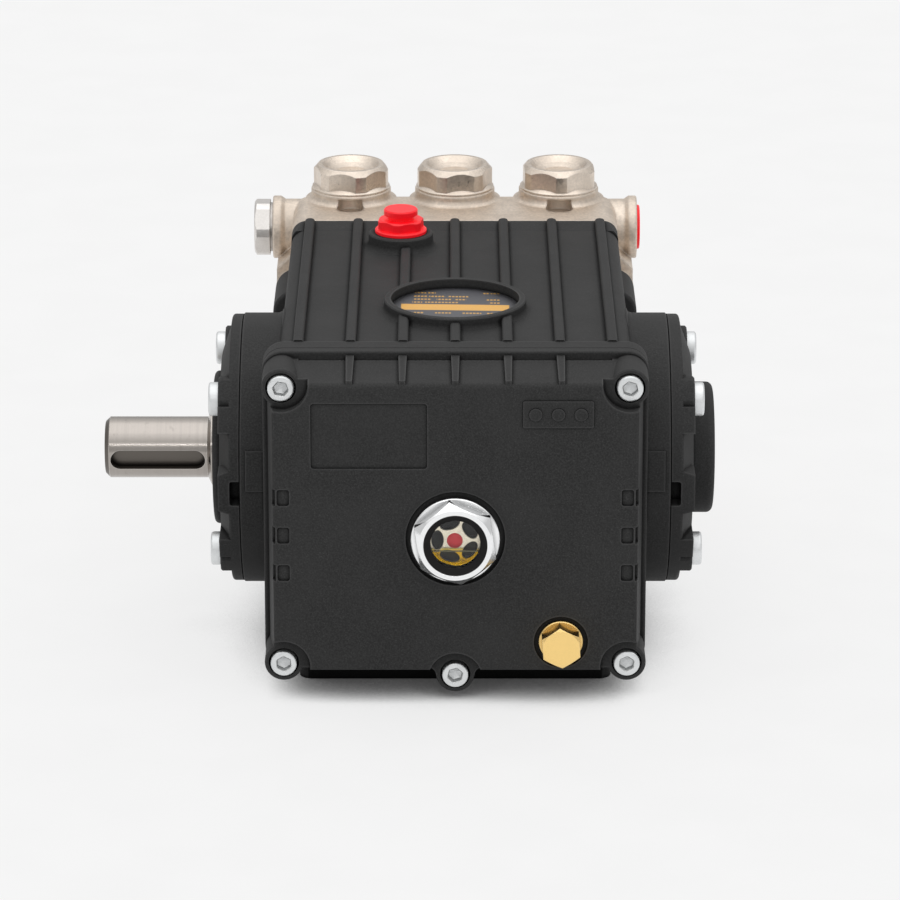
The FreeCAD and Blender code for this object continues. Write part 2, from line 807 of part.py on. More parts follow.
def bearing_lug(y, z, crest):
    """Screw lug of a bearing cover: round boss, squared towards the middle and out to the rim."""
    boss = bevelled_bar(bearing_lug_diameter, side_boss_face, crest, bearing_lug_edge)
    inner = math.copysign(bearing_screw_y - bearing_lug_diameter / 2, y)
    outer = math.copysign(bearing_cover_diameter / 2, y)
    y0, y1 = sorted((inner, outer))
    z0, z1 = sorted((z, math.copysign(bearing_lug_shelf, z)))
    return fused([turned_to(boss, X_AXIS, V(0, y, z)), block(side_boss_face, crest, y0, y1, z0, z1)])


def bearing_cover_blank(rim_face, crest, hub_diameter, hub_face, hub_edge):
    """Right bearing cover: rim, sloping flank, centre disc, hub, screw lugs and pry blocks."""
    radius = bearing_cover_diameter / 2
    centre = bearing_centre_diameter / 2
    body = revolved([(0, side_boss_face), (radius, side_boss_face), (radius, rim_face),
                     (radius - bearing_rim_land, rim_face), (centre, crest), (0, crest)], X_AXIS)
    body = rounded_rings(body, X_AXIS, [(rim_face, radius, bearing_rim_edge),
                                        (crest, centre, bearing_flank_round)])
    hub = rounded_bar(hub_diameter, rim_face, hub_face, hub_edge)
    limit = cylinder(bearing_cover_diameter, crest, ORIGIN, X_AXIS)
    pieces = [body, turned_to(hub, X_AXIS, ORIGIN)]
    gap = cylinder(bearing_cover_diameter + overrun, bearing_gap, V(side_boss_face, 0, 0), X_AXIS)
    middle = cylinder(bearing_cover_diameter - 2 * bearing_gap_depth, bearing_gap,
                      V(side_boss_face, 0, 0), X_AXIS)
    sinks = [gap.cut(middle)]
    for y, z in bearing_screw_places():
        pieces.append(bearing_lug(y, z, crest).common(limit))
        sinks.append(cylinder(bearing_head_diameter, bearing_head_recess + overrun,
                              V(crest - bearing_head_recess, y, z), X_AXIS))
        sinks.append(cylinder(bearing_screw_hole, crest - side_boss_face, V(side_boss_face, y, z), X_AXIS))
    for side in (-1, 1):
        pieces.append(pry_block(side, rim_face, crest).common(limit))
        sinks.append(pry_slot(side))
    return fused(pieces).cut(sinks)


def right_bearing_cover():
    """Closed bearing cover on the right."""
    return bearing_cover_blank(closed_rim_face, closed_centre_face, closed_hub_diameter,
                               closed_hub_face, closed_hub_edge)


def left_bearing_cover():
    """Bearing cover on the drive side, bored for the shaft and its seal."""
    blank = bearing_cover_blank(seal_rim_face, seal_centre_face, seal_hub_diameter,
                                seal_hub_face, seal_hub_edge)
    seat = seal_hub_face - seal_face_inset - seal_width
    cover = blank.cut([cylinder(journal_diameter + 2 * running_clearance, seal_hub_face, ORIGIN, X_AXIS),
                       cylinder(seal_diameter, seal_hub_face, V(seat, 0, 0), X_AXIS)])
    return cover.mirror(ORIGIN, X_AXIS)


def shaft_seal():
    """Rubber lip seal pressed in the left hub, with a shallow groove in its face."""
    outer = seal_diameter / 2
    inner = seal_land_diameter / 2 + running_clearance
    front = seal_hub_face - seal_face_inset
    back = front - seal_width
    lip = (outer + inner) / 2
    ring = revolved([(inner, back), (outer, back), (outer, front), (lip + seal_groove, front),
                     (lip, front - seal_groove), (inner + seal_lip, front - seal_groove / 2),
                     (inner, front - seal_groove)], X_AXIS)
    return ring.mirror(ORIGIN, X_AXIS)


def crankshaft():
    """Drive end of the crankshaft with its keyway, shoulder, seal land and journal."""
    end = shaft_diameter / 2
    land = seal_land_diameter / 2
    journal = journal_diameter / 2
    land_end = shaft_shoulder_end - seal_land_length
    start = journal_end + shaft_end_gap
    shaft = revolved([(0, start), (journal - shaft_chamfer, start),
                      (journal, start + shaft_chamfer), (journal, land_end), (land, land_end),
                      (land, shaft_shoulder_end), (end, shaft_shoulder_start),
                      (end, shaft_end - shaft_chamfer), (end - shaft_chamfer, shaft_end),
                      (0, shaft_end)], X_AXIS)
    shaft = shaft.mirror(ORIGIN, X_AXIS)
    floor = end - key_depth
    key_start_x = -key_start - key_width / 2
    key_end_x = -key_start - key_length + key_width / 2
    keyway = block(key_end_x, key_start_x, -end - overrun, -floor, -key_width / 2, key_width / 2)
    ends = [cylinder(key_width, key_depth + overrun, V(x, -end - overrun, 0), Y_AXIS)
            for x in (key_start_x, key_end_x)]
    cuts = [keyway] + ends
    for cut in cuts:
        cut.rotate(ORIGIN, X_AXIS, key_turn)
    return shaft.cut(cuts)


def suction_gallery():
    """Gallery along the foot of the head with rounded ends, filled in towards the head block."""
    radius = suction_gallery_diameter / 2
    web_base = head_bottom + head_edge
    bar = cylinder(suction_gallery_diameter, 2 * gallery_half_width,
                   V(-gallery_half_width, suction_gallery_y, suction_gallery_z), X_AXIS)
    web = block(-gallery_half_width, gallery_half_width, suction_gallery_y - radius,
                suction_gallery_y + radius, suction_gallery_z, web_base)
    body = fused([bar, web])
    ends = edges_where(body, lambda c, b: b.XLength < near and abs(c.z - web_base) > near)
    return body.makeFillet(gallery_round, ends)


def delivery_gallery():
    """Gallery along the top of the head, level with a flat deck towards the crankcase, ends rounded."""
    base = head_top - overrun
    bar = cylinder(gallery_diameter, 2 * gallery_half_width,
                   V(-gallery_half_width, gallery_y, gallery_z), X_AXIS)
    far = gallery_y + gallery_diameter / 2
    foot = block(-gallery_half_width, gallery_half_width, head_mount_face, far, base, gallery_z)
    deck = block(-gallery_half_width, gallery_half_width, head_mount_face, gallery_y, base, deck_top)
    body = fused([bar, foot, deck])
    ends = edges_where(body, lambda c, b: b.XLength < near and c.y > head_mount_face + near
                       and c.z > head_top)
    return body.makeFillet(gallery_round, ends)


def gusset():
    """Sloping wedge between the right end of the delivery gallery and the head block."""
    inner = gallery_half_width - gusset_reach
    outer = head_half_width - gusset_inset
    side = Part.makePolygon([V(gallery_port_root, gusset_rear, gusset_top),
                             V(inner, gusset_rear, gusset_top), V(outer, gusset_rear, gusset_foot),
                             V(outer, gusset_rear, 0), V(gallery_port_root, gusset_rear, 0),
                             V(gallery_port_root, gusset_rear, gusset_top)])
    return Part.Face(side).extrude(V(0, head_front - head_edge - gusset_rear, 0))


def port_neck(y, z, diameter, neck_diameter):
    """Turned port on the right of the head: neck, slope and ring."""
    ring = diameter / 2
    neck = neck_diameter / 2
    port = revolved([(0, gallery_port_root), (neck, gallery_port_root),
                     (neck, port_face - port_ring_width - port_slope),
                     (ring, port_face - port_ring_width), (ring, port_face - port_edge),
                     (ring - port_edge, port_face), (0, port_face)], X_AXIS)
    port.translate(V(0, y, z))
    return port


def delivery_boss(x):
    """Upright boss for a valve cap: shoulder, flared foot of the ring and the ring."""
    boss = delivery_boss_diameter / 2
    ring = delivery_ring_diameter / 2
    upright = revolved([(0, gallery_z), (boss, gallery_z), (boss, delivery_boss_top),
                        (delivery_flare_diameter / 2, delivery_flare_top), (ring, delivery_ring_foot),
                        (ring, delivery_ring_top - ring_land_edge),
                        (ring - ring_land_edge, delivery_ring_top), (0, delivery_ring_top)], Z_AXIS)
    upright.translate(V(x, delivery_axis_y, 0))
    return upright


def head_cuts():
    """Valve bores, ports, reliefs beside the outer bosses and screw holes of the valve head."""
    cuts = []
    bore = cap_thread_diameter + 2 * cap_bore_clearance
    for x in valve_places():
        cuts.append(cylinder(bore, cap_bore_depth, V(x, delivery_axis_y, delivery_ring_top), -Z_AXIS))
        cuts.append(cylinder(bore, cap_bore_depth, V(x, suction_boss_face, suction_axis_z), -Y_AXIS))
    for side in (-1, 1):
        cuts.append(cylinder(delivery_port_bore, port_depth,
                             V(side * port_face, delivery_axis_y, delivery_port_z), X_AXIS * -side))
        cuts.append(cylinder(suction_port_bore, port_depth,
                             V(side * port_face, suction_gallery_y, suction_gallery_z), X_AXIS * -side))
        cuts.append(cylinder(relief_diameter, relief_roof - relief_floor,
                             V(side * valve_pitch, delivery_axis_y - relief_reach, relief_floor), Z_AXIS))
    for x, z in head_screw_places():
        cuts.append(cylinder(head_screw_hole, head_front - head_mount_face, V(x, head_mount_face, z), Y_AXIS))
    return cuts


def pump_head():
    """Valve head with its delivery and suction galleries, cap bosses and ports."""
    body = block(-head_half_width, head_half_width, head_mount_face, head_front, head_bottom, head_top)
    rounded = edges_where(body, lambda c, b: c.y > head_mount_face + near)
    pieces = [body.makeFillet(head_edge, rounded)]
    pieces += [delivery_gallery(), suction_gallery()]
    for end in (gusset(),
                port_neck(delivery_axis_y, delivery_port_z, delivery_port_diameter, delivery_neck_diameter),
                port_neck(suction_gallery_y, suction_gallery_z, suction_port_diameter,
                          suction_neck_diameter)):
        pieces += [end, end.mirror(ORIGIN, X_AXIS)]
    for x in valve_places():
        pieces.append(delivery_boss(x))
        front_boss = bevelled_bar(suction_boss_diameter, head_front - overrun, suction_boss_face,
                                  suction_boss_edge)
        pieces.append(turned_to(front_boss, Y_AXIS, V(x, 0, suction_axis_z)))
    return fused(pieces).cut(head_cuts())


def valve_cap(turn):
    """Hexagon valve cap, upright on its seat, with a dished top and a threaded spigot."""
    collar = revolved([(0, 0), (cap_collar_diameter / 2, 0), (cap_collar_diameter / 2, cap_collar_land),
                       (cap_collar_top / 2, cap_collar_height), (0, cap_collar_height)], Z_AXIS)
    top = cap_collar_height + cap_hex_height
    hexagonal = hexagon(cap_across_flats, cap_across_flats * turned_corner, top - cap_collar_land,
                        cap_edge, cap_edge_drop, turn)
    hexagonal.translate(V(0, 0, cap_collar_land))
    spigot = cylinder(cap_thread_diameter, cap_thread_length, ORIGIN, -Z_AXIS)
    dish = revolved([(0, top - cap_dish_depth), (cap_dish_floor / 2, top - cap_dish_depth),
                     (cap_dish_knee / 2, top - cap_dish_knee_depth), (cap_dish_diameter / 2, top),
                     (0, top)], Z_AXIS)
    return fused([collar, hexagonal, spigot]).cut(dish)


def port_plug(across_flats, head_length, bore):
    """Hexagon plug for a port, upright, resting on its washer at z = washer thickness."""
    head = hexagon(across_flats, across_flats * turned_corner, head_length, plug_edge, plug_edge_drop,
                   plug_turn)
    head.translate(V(0, 0, washer_thickness))
    thread = cylinder(bore - 2 * plug_fit, plug_thread_length + washer_thickness,
                      V(0, 0, -plug_thread_length), Z_AXIS)
    return fused([head, thread])


def plug_washer(diameter, bore):
    """Flat sealing washer under a port plug."""
    ring = cylinder(diameter, washer_thickness, ORIGIN, Z_AXIS)
    return ring.cut(cylinder(bore, washer_thickness, ORIGIN, Z_AXIS))


def protective_plug(bore):
    """Soft plastic plug pushed into an unused port, dished in its face."""
    body = bevelled_bar(bore - 2 * plug_fit, -cap_plug_length, cap_plug_proud, cap_plug_edge)
    dish = cylinder(bore - 2 * plug_fit - 2 * cap_plug_wall, cap_plug_dish,
                    V(0, 0, cap_plug_proud - cap_plug_dish), Z_AXIS)
    return body.cut(dish)


def oil_filler_cap():
    """Red oil filler cap: flange, hexagon, neck and top disc, with its threaded spigot."""
    flange = bevelled_bar(filler_flange_diameter, 0, filler_flange_thickness, filler_flange_edge)
    hexagonal = hexagon(filler_hex_across_flats, filler_hex_across_flats * turned_corner,
                        filler_hex_height, filler_hex_edge, filler_hex_drop, filler_hex_turn)
    hexagonal.translate(V(0, 0, filler_flange_thickness))
    neck_start = filler_flange_thickness + filler_hex_height
    disc_start = neck_start + filler_neck_height
    neck = cylinder(filler_neck_diameter, filler_neck_height, V(0, 0, neck_start), Z_AXIS)
    disc = bevelled_bar(filler_disc_diameter, disc_start, disc_start + filler_disc_thickness,
                        filler_disc_edge)
    thread = cylinder(filler_bore_diameter - 2 * plug_fit, filler_thread_length, ORIGIN, -Z_AXIS)
    cap = fused([flange, hexagonal, neck, disc, thread])
    cap.translate(V(filler_x, filler_y, filler_boss_top))
    return cap


def sight_place(depth):
    """Point on the sight glass axis, a depth in front of its flange seat."""
    return V(0, cover_face + sight_seat_sink - depth, sight_z)


def sight_glass_nut():
    """Chromed sight glass body: flange, turned hexagon, stepped bore and threaded barrel."""
    flange = bevelled_bar(sight_flange_diameter, 0, sight_flange_thickness, sight_flange_edge)
    hexagonal = hexagon(sight_hex_across_flats, sharp_corner(sight_hex_across_flats), sight_hex_height,
                        sight_hex_edge, sight_hex_drop, sight_hex_turn)
    hexagonal.translate(V(0, 0, sight_flange_thickness))
    barrel = cylinder(sight_bore_diameter - 2 * sight_thread_clearance, sight_seat_depth, ORIGIN, -Z_AXIS)
    window_bore = cylinder(sight_barrel_bore, sight_hex_height, V(0, 0, sight_flange_thickness), Z_AXIS)
    inner_bore = cylinder(sight_inner_bore, sight_seat_depth + sight_flange_thickness,
                          V(0, 0, -sight_seat_depth), Z_AXIS)
    nut = fused([flange, hexagonal, barrel]).cut([window_bore, inner_bore])
    return turned_to(nut, -Y_AXIS, sight_place(0))


def sight_glass_seal():
    """Black ring, sloping inwards, that holds the sight window from the outside."""
    bottom = sight_flange_thickness + sight_glass_thickness
    top = sight_flange_thickness + sight_hex_height
    outer = sight_barrel_bore / 2 - sight_glass_clearance
    inner = sight_seal_inner / 2
    ring = revolved([(inner, bottom), (outer, bottom), (outer, top), (inner, bottom + sight_seal_lip)],
                    Z_AXIS)
    return turned_to(ring, -Y_AXIS, sight_place(0))


def sight_window():
    """Clear window on the step of the bore, under the black ring."""
    glass = cylinder(sight_barrel_bore - 2 * sight_glass_clearance, sight_glass_thickness,
                     V(0, 0, sight_flange_thickness), Z_AXIS)
    return turned_to(glass, -Y_AXIS, sight_place(0))


def sight_reflector():
    """Spoked reflector disc behind the sight window."""
    disc = cylinder(sight_inner_bore - 2 * sight_glass_clearance, sight_reflector_thickness, ORIGIN, -Z_AXIS)
    middle = (sight_hole_inner + sight_hole_outer) / 2
    oval = Part.Ellipse(ORIGIN, sight_hole_span / 2, (sight_hole_outer - sight_hole_inner) / 2).toShape()
    holes = []
    for index in range(sight_reflector_holes):
        hole = Part.Face(Part.Wire([oval])).extrude(V(0, 0, -sight_reflector_thickness))
        hole.translate(V(0, middle, 0))
        hole.rotate(ORIGIN, Z_AXIS, 360 / sight_reflector_holes * index + sight_reflector_turn - 90)
        holes.append(hole)
    return turned_to(disc.cut(holes), -Y_AXIS, sight_place(0))


def drain_plug():
    """Brass drain plug with a flange, hexagon and thread."""
    flange = bevelled_bar(drain_flange_diameter, 0, drain_flange_thickness, drain_flange_edge)
    hexagonal = hexagon(drain_hex_across_flats, sharp_corner(drain_hex_across_flats), drain_hex_height,
                        drain_hex_edge, drain_hex_drop, drain_hex_turn)
    hexagonal.translate(V(0, 0, drain_flange_thickness))
    thread = cylinder(drain_thread_diameter, drain_thread_length, ORIGIN, -Z_AXIS)
    plug = fused([flange, hexagonal, thread])
    return turned_to(plug, -Y_AXIS, V(drain_x, cover_face + drain_recess_depth, drain_z))


def rating_plate():
    """Round plate that lies in the ring on top of the crankcase."""
    diameter = ring_diameter - 2 * ring_wall - 2 * plate_clearance
    return cylinder(diameter, plate_thickness, V(0, ring_y, case_top), Z_AXIS)


def save(name, shape):
    """Lift a finished shape onto the foot plane and write it."""
    lifted = shape.copy()
    lifted.translate(V(0, 0, shaft_height))
    lifted.exportStep("parts/" + name + ".step")
    print(name, "solids", len(lifted.Solids), "volume", round(lifted.Volume), "valid", lifted.isValid())


os.makedirs("parts", exist_ok=True)
save("crankcase", crankcase())
save("rear_cover", rear_cover())
save("right_bearing_cover", right_bearing_cover())
save("left_bearing_cover", left_bearing_cover())
save("shaft_seal", shaft_seal())
save("crankshaft", crankshaft())
save("pump_head", pump_head())
for side_name, place_x, turn_angle in zip(("left", "centre", "right"), valve_places(), cap_turns):
    delivery_cap = turned_to(valve_cap(turn_angle), Z_AXIS, V(place_x, delivery_axis_y, delivery_ring_top))
    save("delivery_valve_cap_" + side_name, delivery_cap)
    suction_cap = turned_to(valve_cap(turn_angle), Y_AXIS, V(place_x, suction_boss_face, suction_axis_z))
    save("suction_valve_cap_" + side_name, suction_cap)
delivery_left = V(-port_face, delivery_axis_y, delivery_port_z)
delivery_right = V(port_face, delivery_axis_y, delivery_port_z)
suction_left = V(-port_face, suction_gallery_y, suction_gallery_z)
suction_right = V(port_face, suction_gallery_y, suction_gallery_z)
save("delivery_port_plug", turned_to(port_plug(delivery_plug_across_flats, delivery_plug_head,
                                               delivery_port_bore), -X_AXIS, delivery_left))
save("delivery_plug_washer", turned_to(plug_washer(washer_diameter, delivery_port_bore), -X_AXIS,
                                       delivery_left))
save("delivery_port_cap", turned_to(protective_plug(delivery_port_bore), X_AXIS, delivery_right))
save("suction_port_plug", turned_to(port_plug(suction_plug_across_flats, suction_plug_head,
                                              suction_port_bore), -X_AXIS, suction_left))
save("suction_plug_washer", turned_to(plug_washer(suction_washer_diameter, suction_port_bore), -X_AXIS,
                                      suction_left))
save("suction_port_cap", turned_to(protective_plug(suction_port_bore), X_AXIS, suction_right))
save("oil_filler_cap", oil_filler_cap())
save("sight_glass_nut", sight_glass_nut())
save("sight_glass_seal", sight_glass_seal())
save("sight_window", sight_window())
save("sight_reflector", sight_reflector())
save("drain_plug", drain_plug())
save("rating_plate", rating_plate())
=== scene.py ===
# %% [markdown]
# # A triplex plunger pump
# The pump is a black die-cast crankcase with a nickel-plated valve head behind it. Its solids come
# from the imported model, so each real shape and size is there before Blender starts. This lesson
# adds what a solid can't carry: the finish of each surface, the screws, the oil behind the sight
# glass, the lines on the round plate, and the studio round it all.

import json
import math

import bmesh
import bpy
from mathutils import Matrix, Vector


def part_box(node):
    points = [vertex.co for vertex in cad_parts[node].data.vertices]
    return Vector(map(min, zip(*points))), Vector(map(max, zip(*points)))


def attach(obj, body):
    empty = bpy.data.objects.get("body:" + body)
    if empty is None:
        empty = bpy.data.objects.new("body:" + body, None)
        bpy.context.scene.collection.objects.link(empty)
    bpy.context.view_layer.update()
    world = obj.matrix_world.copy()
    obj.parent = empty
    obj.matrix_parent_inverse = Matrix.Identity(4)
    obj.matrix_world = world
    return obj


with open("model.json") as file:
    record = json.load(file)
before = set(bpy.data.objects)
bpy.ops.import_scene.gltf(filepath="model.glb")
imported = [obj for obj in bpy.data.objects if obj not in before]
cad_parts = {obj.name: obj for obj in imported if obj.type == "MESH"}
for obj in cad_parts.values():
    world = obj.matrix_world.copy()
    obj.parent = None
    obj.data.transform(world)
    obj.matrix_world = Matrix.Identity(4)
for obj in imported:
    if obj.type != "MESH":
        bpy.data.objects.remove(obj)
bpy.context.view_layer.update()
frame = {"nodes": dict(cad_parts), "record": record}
nodes = frame["nodes"]
MM = 0.001
SHAFT_HEIGHT = 74.0

# %% [markdown]
# ## The camera
# The photograph was taken from far off with a long lens, looking down at the crankcase cover by
# nineteen degrees. The ribs on top run away from the viewer and draw together only a little, and
# how fast they do gives the distance. The lens follows from that distance and the pump's width.

# %% The camera
CAMERA_TILT = 19.0
CAMERA_PLACE = Vector((-2.0, -1773.8, 683.4)) * MM
SENSOR_WIDTH = 36.0
LENS = 191.0
camera_data = bpy.data.cameras.new("camera")
camera_data.sensor_width = SENSOR_WIDTH
camera_data.lens = LENS
camera = bpy.data.objects.new("camera", camera_data)
camera.location = CAMERA_PLACE
camera.rotation_euler = (math.radians(90 - CAMERA_TILT), 0, 0)
bpy.context.scene.collection.objects.link(camera)
bpy.context.scene.camera = camera
bpy.context.scene.view_settings.view_transform = "Standard"
print("camera", round(CAMERA_PLACE.length, 3), "m away, lens", LENS, "mm")

# %% [markdown]
# ## Shader maths as plain expressions
# A shader is a graph of nodes, and sums made of Math nodes are hard to read. Here a Wire holds one
# output socket and knows how to add, subtract, multiply, divide and compare, so `1 - mask` builds
# the node it needs.

# %% A wire that can be reckoned with
class Wire:
    """One output socket of a finish. Sums on it add Math nodes."""

    def __init__(self, finish, socket):
        self.finish = finish
        self.socket = socket

    def maths(self, operation, *values):
        """A Math node over these values."""
        return self.finish.node("Math", {"operation": operation}, dict(enumerate(values)))

    def __add__(self, other):
        return self.maths("ADD", self, other)

    def __sub__(self, other):
        return self.maths("SUBTRACT", self, other)

    def __rsub__(self, other):
        return self.maths("SUBTRACT", other, self)

    def __mul__(self, other):
        return self.maths("MULTIPLY", self, other)

    def __truediv__(self, other):
        return self.maths("DIVIDE", self, other)

    def __pow__(self, other):
        return self.maths("POWER", self, other)

    __radd__ = __add__
    __rmul__ = __mul__

    def larger(self, other):
        """The larger of two numbers."""
        return self.maths("MAXIMUM", self, other)

    def repeat(self, pitch):
        """Rises from 0 to 1 and starts again, once in each pitch."""
        return self.maths("FRACT", self / pitch)

    def ramp(self, low, high, start=0.0, end=1.0):
        """Start below low, end above high, and a smooth rise between."""
        sockets = {"Value": self, "From Min": low, "From Max": high, "To Min": start, "To Max": end}
        return self.finish.node("MapRange", {"interpolation_type": "SMOOTHSTEP"}, sockets)

    def between(self, low, high, soft):
        """1 from low to high and 0 outside, with soft ends."""
        rise = self.ramp(low - soft, low + soft)
        return rise * self.ramp(high - soft, high + soft, 1.0, 0.0)


print("wires ready")

# %% [markdown]
# ## One class for a finish
# A Finish holds one material. Its `node` method makes any node: the kind first, then its settings,
# then what goes into its sockets. The other methods are the few things that most finishes need:
# where a point is, a grain of a real size, edges for a painted highlight with some wear, corners
# for painted shade, and relief. A Bevel node gives the normal that a rounded edge would have, and
# where it differs from the plain one there is an edge. An Ambient Occlusion node tells how open a
# point lies, and where it is shut in there is a crease. Both send a few rays out from each point
# to find that out.

# %% A finish and what feeds it
PROBE_RAYS = 6
EVEN = (1.0, 1.0, 1.0)


class Finish:
    """One material: its Principled shader and the nodes that feed it."""

    def __init__(self, name, **constants):
        self.material = bpy.data.materials.new(name)
        self.material.use_nodes = True
        self.tree = self.material.node_tree
        self.shader = self.tree.nodes["Principled BSDF"]
        for socket, value in constants.items():
            self.set(socket.replace("_", " "), value)

    def feed(self, socket, value):
        """Link a wire to a socket, or store a plain value in it."""
        if isinstance(value, Wire):
            self.tree.links.new(value.socket, socket)
        else:
            socket.default_value = value

    def set(self, socket, value):
        """Give one of the shader's own sockets a value or a wire."""
        self.feed(self.shader.inputs[socket], value)

    def node(self, kind, settings=None, sockets=None, output=0):
        """Any node: its kind, its settings, what its sockets take and which output to use."""
        made = self.tree.nodes.new("ShaderNode" + kind)
        for name, value in (settings or {}).items():
            setattr(made, name, value)
        for name, value in (sockets or {}).items():
            self.feed(made.inputs[name], value)
        return Wire(self, made.outputs[output])

    def mix(self, factor, first, second):
        """Blend two colours."""
        return self.node("Mix", {"data_type": "RGBA"}, {0: factor, 6: first, 7: second}, 2)

    def place(self):
        """Where on the pump a point is, in millimetres."""
        at = self.node("TexCoord", output="Object")
        return self.node("VectorMath", {"operation": "SCALE"}, {0: at, "Scale": 1.0 / MM})

    def axes(self):
        """The same place as three numbers: across, along and up."""
        split = self.node("SeparateXYZ", {}, {0: self.place()})
        outputs = split.socket.node.outputs
        return [Wire(self, socket) for socket in outputs]

    def grain(self, size, detail=3.0, roughness=0.5, squeeze=EVEN):
        """Noise from 0 to 1 in blots of a size in millimetres, longer along a squeezed axis."""
        at = self.node("VectorMath", {"operation": "MULTIPLY"}, {0: self.place(), 1: squeeze})
        sockets = {"Vector": at, "Scale": 1.0 / size, "Detail": detail, "Roughness": roughness}
        return self.node("TexNoise", {}, sockets)

    def tool_marks(self, along, size, detail=2.0):
        """Fine turned lines: noise that changes with one distance only."""
        sockets = {"W": along / size, "Scale": 1.0, "Detail": detail}
        return self.node("TexNoise", {"noise_dimensions": "1D"}, sockets)

    def edges(self, width):
        """1 on outside and inside edges, 0 on open faces, for a width in millimetres."""
        normals = {0: self.rounded(width), 1: self.node("NewGeometry", output="Normal")}
        agreement = self.node("VectorMath", {"operation": "DOT_PRODUCT"}, normals, "Value")
        return agreement.ramp(0.80, 0.995, 1.0, 0.0)

    def openness(self, reach, rays=PROBE_RAYS):
        """1 in the open and 0 where all is shut in, felt over a reach in millimetres."""
        return self.node("AmbientOcclusion", {"samples": rays}, {"Distance": reach * MM}, "AO")

    def creases(self, reach):
        """1 deep in corners and grooves, 0 in the open, felt over a reach in millimetres."""
        return self.openness(reach).ramp(0.55, 0.98, 1.0, 0.0)

    def rounded(self, width):
        """A normal that rounds every edge by a width in millimetres."""
        return self.node("Bevel", {"samples": PROBE_RAYS}, {"Radius": width * MM})

    def bump(self, height, depth, normal=None):
        """Relief of a depth in millimetres from a height between 0 and 1."""
        sockets = {"Height": height, "Distance": depth * MM, "Strength": 1.0}
        if normal is not None:
            sockets["Normal"] = normal
        return self.node("Bump", {}, sockets)


def grey(level):
    """The same amount of red, green and blue."""
    return (level, level, level, 1.0)


def tint(colour, strength=1.0):
    """A colour made lighter or darker, as the four numbers a socket takes."""
    return tuple(min(channel * strength, 1.0) for channel in colour) + (1.0,)


print("finish class ready")

# %% [markdown]
# ## Black casting
# Crankcase and covers are aluminium castings under a thin satin black coat. Seen close, the coat is
# a fine pebbled grain with paler specks. Its edges are painted a little greyer, a painted highlight
# with a little wear in it, and its creases and corners are painted near black, as painted shade.
# Two noises give the relief, one for the pebbles and one for the slow waves of the casting. Every
# cast edge is a little round, so the normal goes through a Bevel node first. Where the rear cover
# meets the crankcase the gasket shows as a fine dark line, as dark as the painted shade.

# %% Black casting
COVER_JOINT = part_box("rear_cover")[1][1] / MM
GASKET_LINE = (COVER_JOINT - 0.4, COVER_JOINT + 0.3)
COAT_DARK, COAT_PALE = grey(0.026), grey(0.043)
COAT_BLOTCH = grey(0.046)
COAT_SPECK = grey(0.095)
# A paler grey for edges: a painted highlight, with a little wear
COAT_WORN_AND_HIGHLIT = grey(0.11)
# Near black for painted shade in creases, and for the gasket's dark line
SHADE_AND_GASKET_BLACK = grey(0.004)


def black_casting():
    finish = Finish("black_casting", IOR=1.22)
    pebbles = finish.grain(0.7, 4.0, 0.65)
    specks = finish.grain(0.45, 2.0, 0.5)
    waves = finish.grain(7.0, 2.0)
    blotches = finish.grain(24.0, 3.0, 0.55)
    # Painted shade where creases and corners shut a point in
    corner_shade = finish.creases(1.7)
    _, along, _ = finish.axes()
    gasket = along.between(*GASKET_LINE, 0.12)
    # Painted highlight on the rounded edges, with a little wear, kept out of the creases
    worn_and_highlit = finish.edges(1.5) * (1 - corner_shade)
    tone = finish.mix(pebbles.ramp(0.35, 0.68), COAT_DARK, COAT_PALE)
    tone = finish.mix(blotches.ramp(0.35, 0.7) * 0.35, tone, COAT_BLOTCH)
    tone = finish.mix(specks.ramp(0.60, 0.72) * 0.35, tone, COAT_SPECK)
    tone = finish.mix(worn_and_highlit * 0.5, tone, COAT_WORN_AND_HIGHLIT)
    finish.set("Base Color", finish.mix((corner_shade * 0.8).larger(gasket), tone, SHADE_AND_GASKET_BLACK))
    finish.set("Roughness", pebbles.ramp(0.3, 0.75, 0.58, 0.72) + corner_shade * 0.2)
    wavy = finish.bump(waves, 0.08, finish.rounded(0.35))
    finish.set("Normal", finish.bump(pebbles, 0.06, wavy))
    return finish.material


CASTING = black_casting()
print(CASTING.name, "made, cover joint at", round(COVER_JOINT, 1), "mm")

# %% [markdown]
# ## What the metals share
# The metals differ in colour, in how sharply they mirror, and in the marks their making leaves. One
# helper sets up what they share: patches that are a little duller, specks, painted shade in the
# corners, and edges painted bright, a painted highlight with some wear. Each finish then adds its
# own marks.

# %% A helper for metals
# Edge tint and width for a painted highlight with some wear, and the reach of painted corner shade
WEAR_AND_HIGHLIGHT = (0.95, 0.93, 0.90)
WORN_HIGHLIT_EDGE = 0.5
CORNER_SHADE_REACH = 1.6


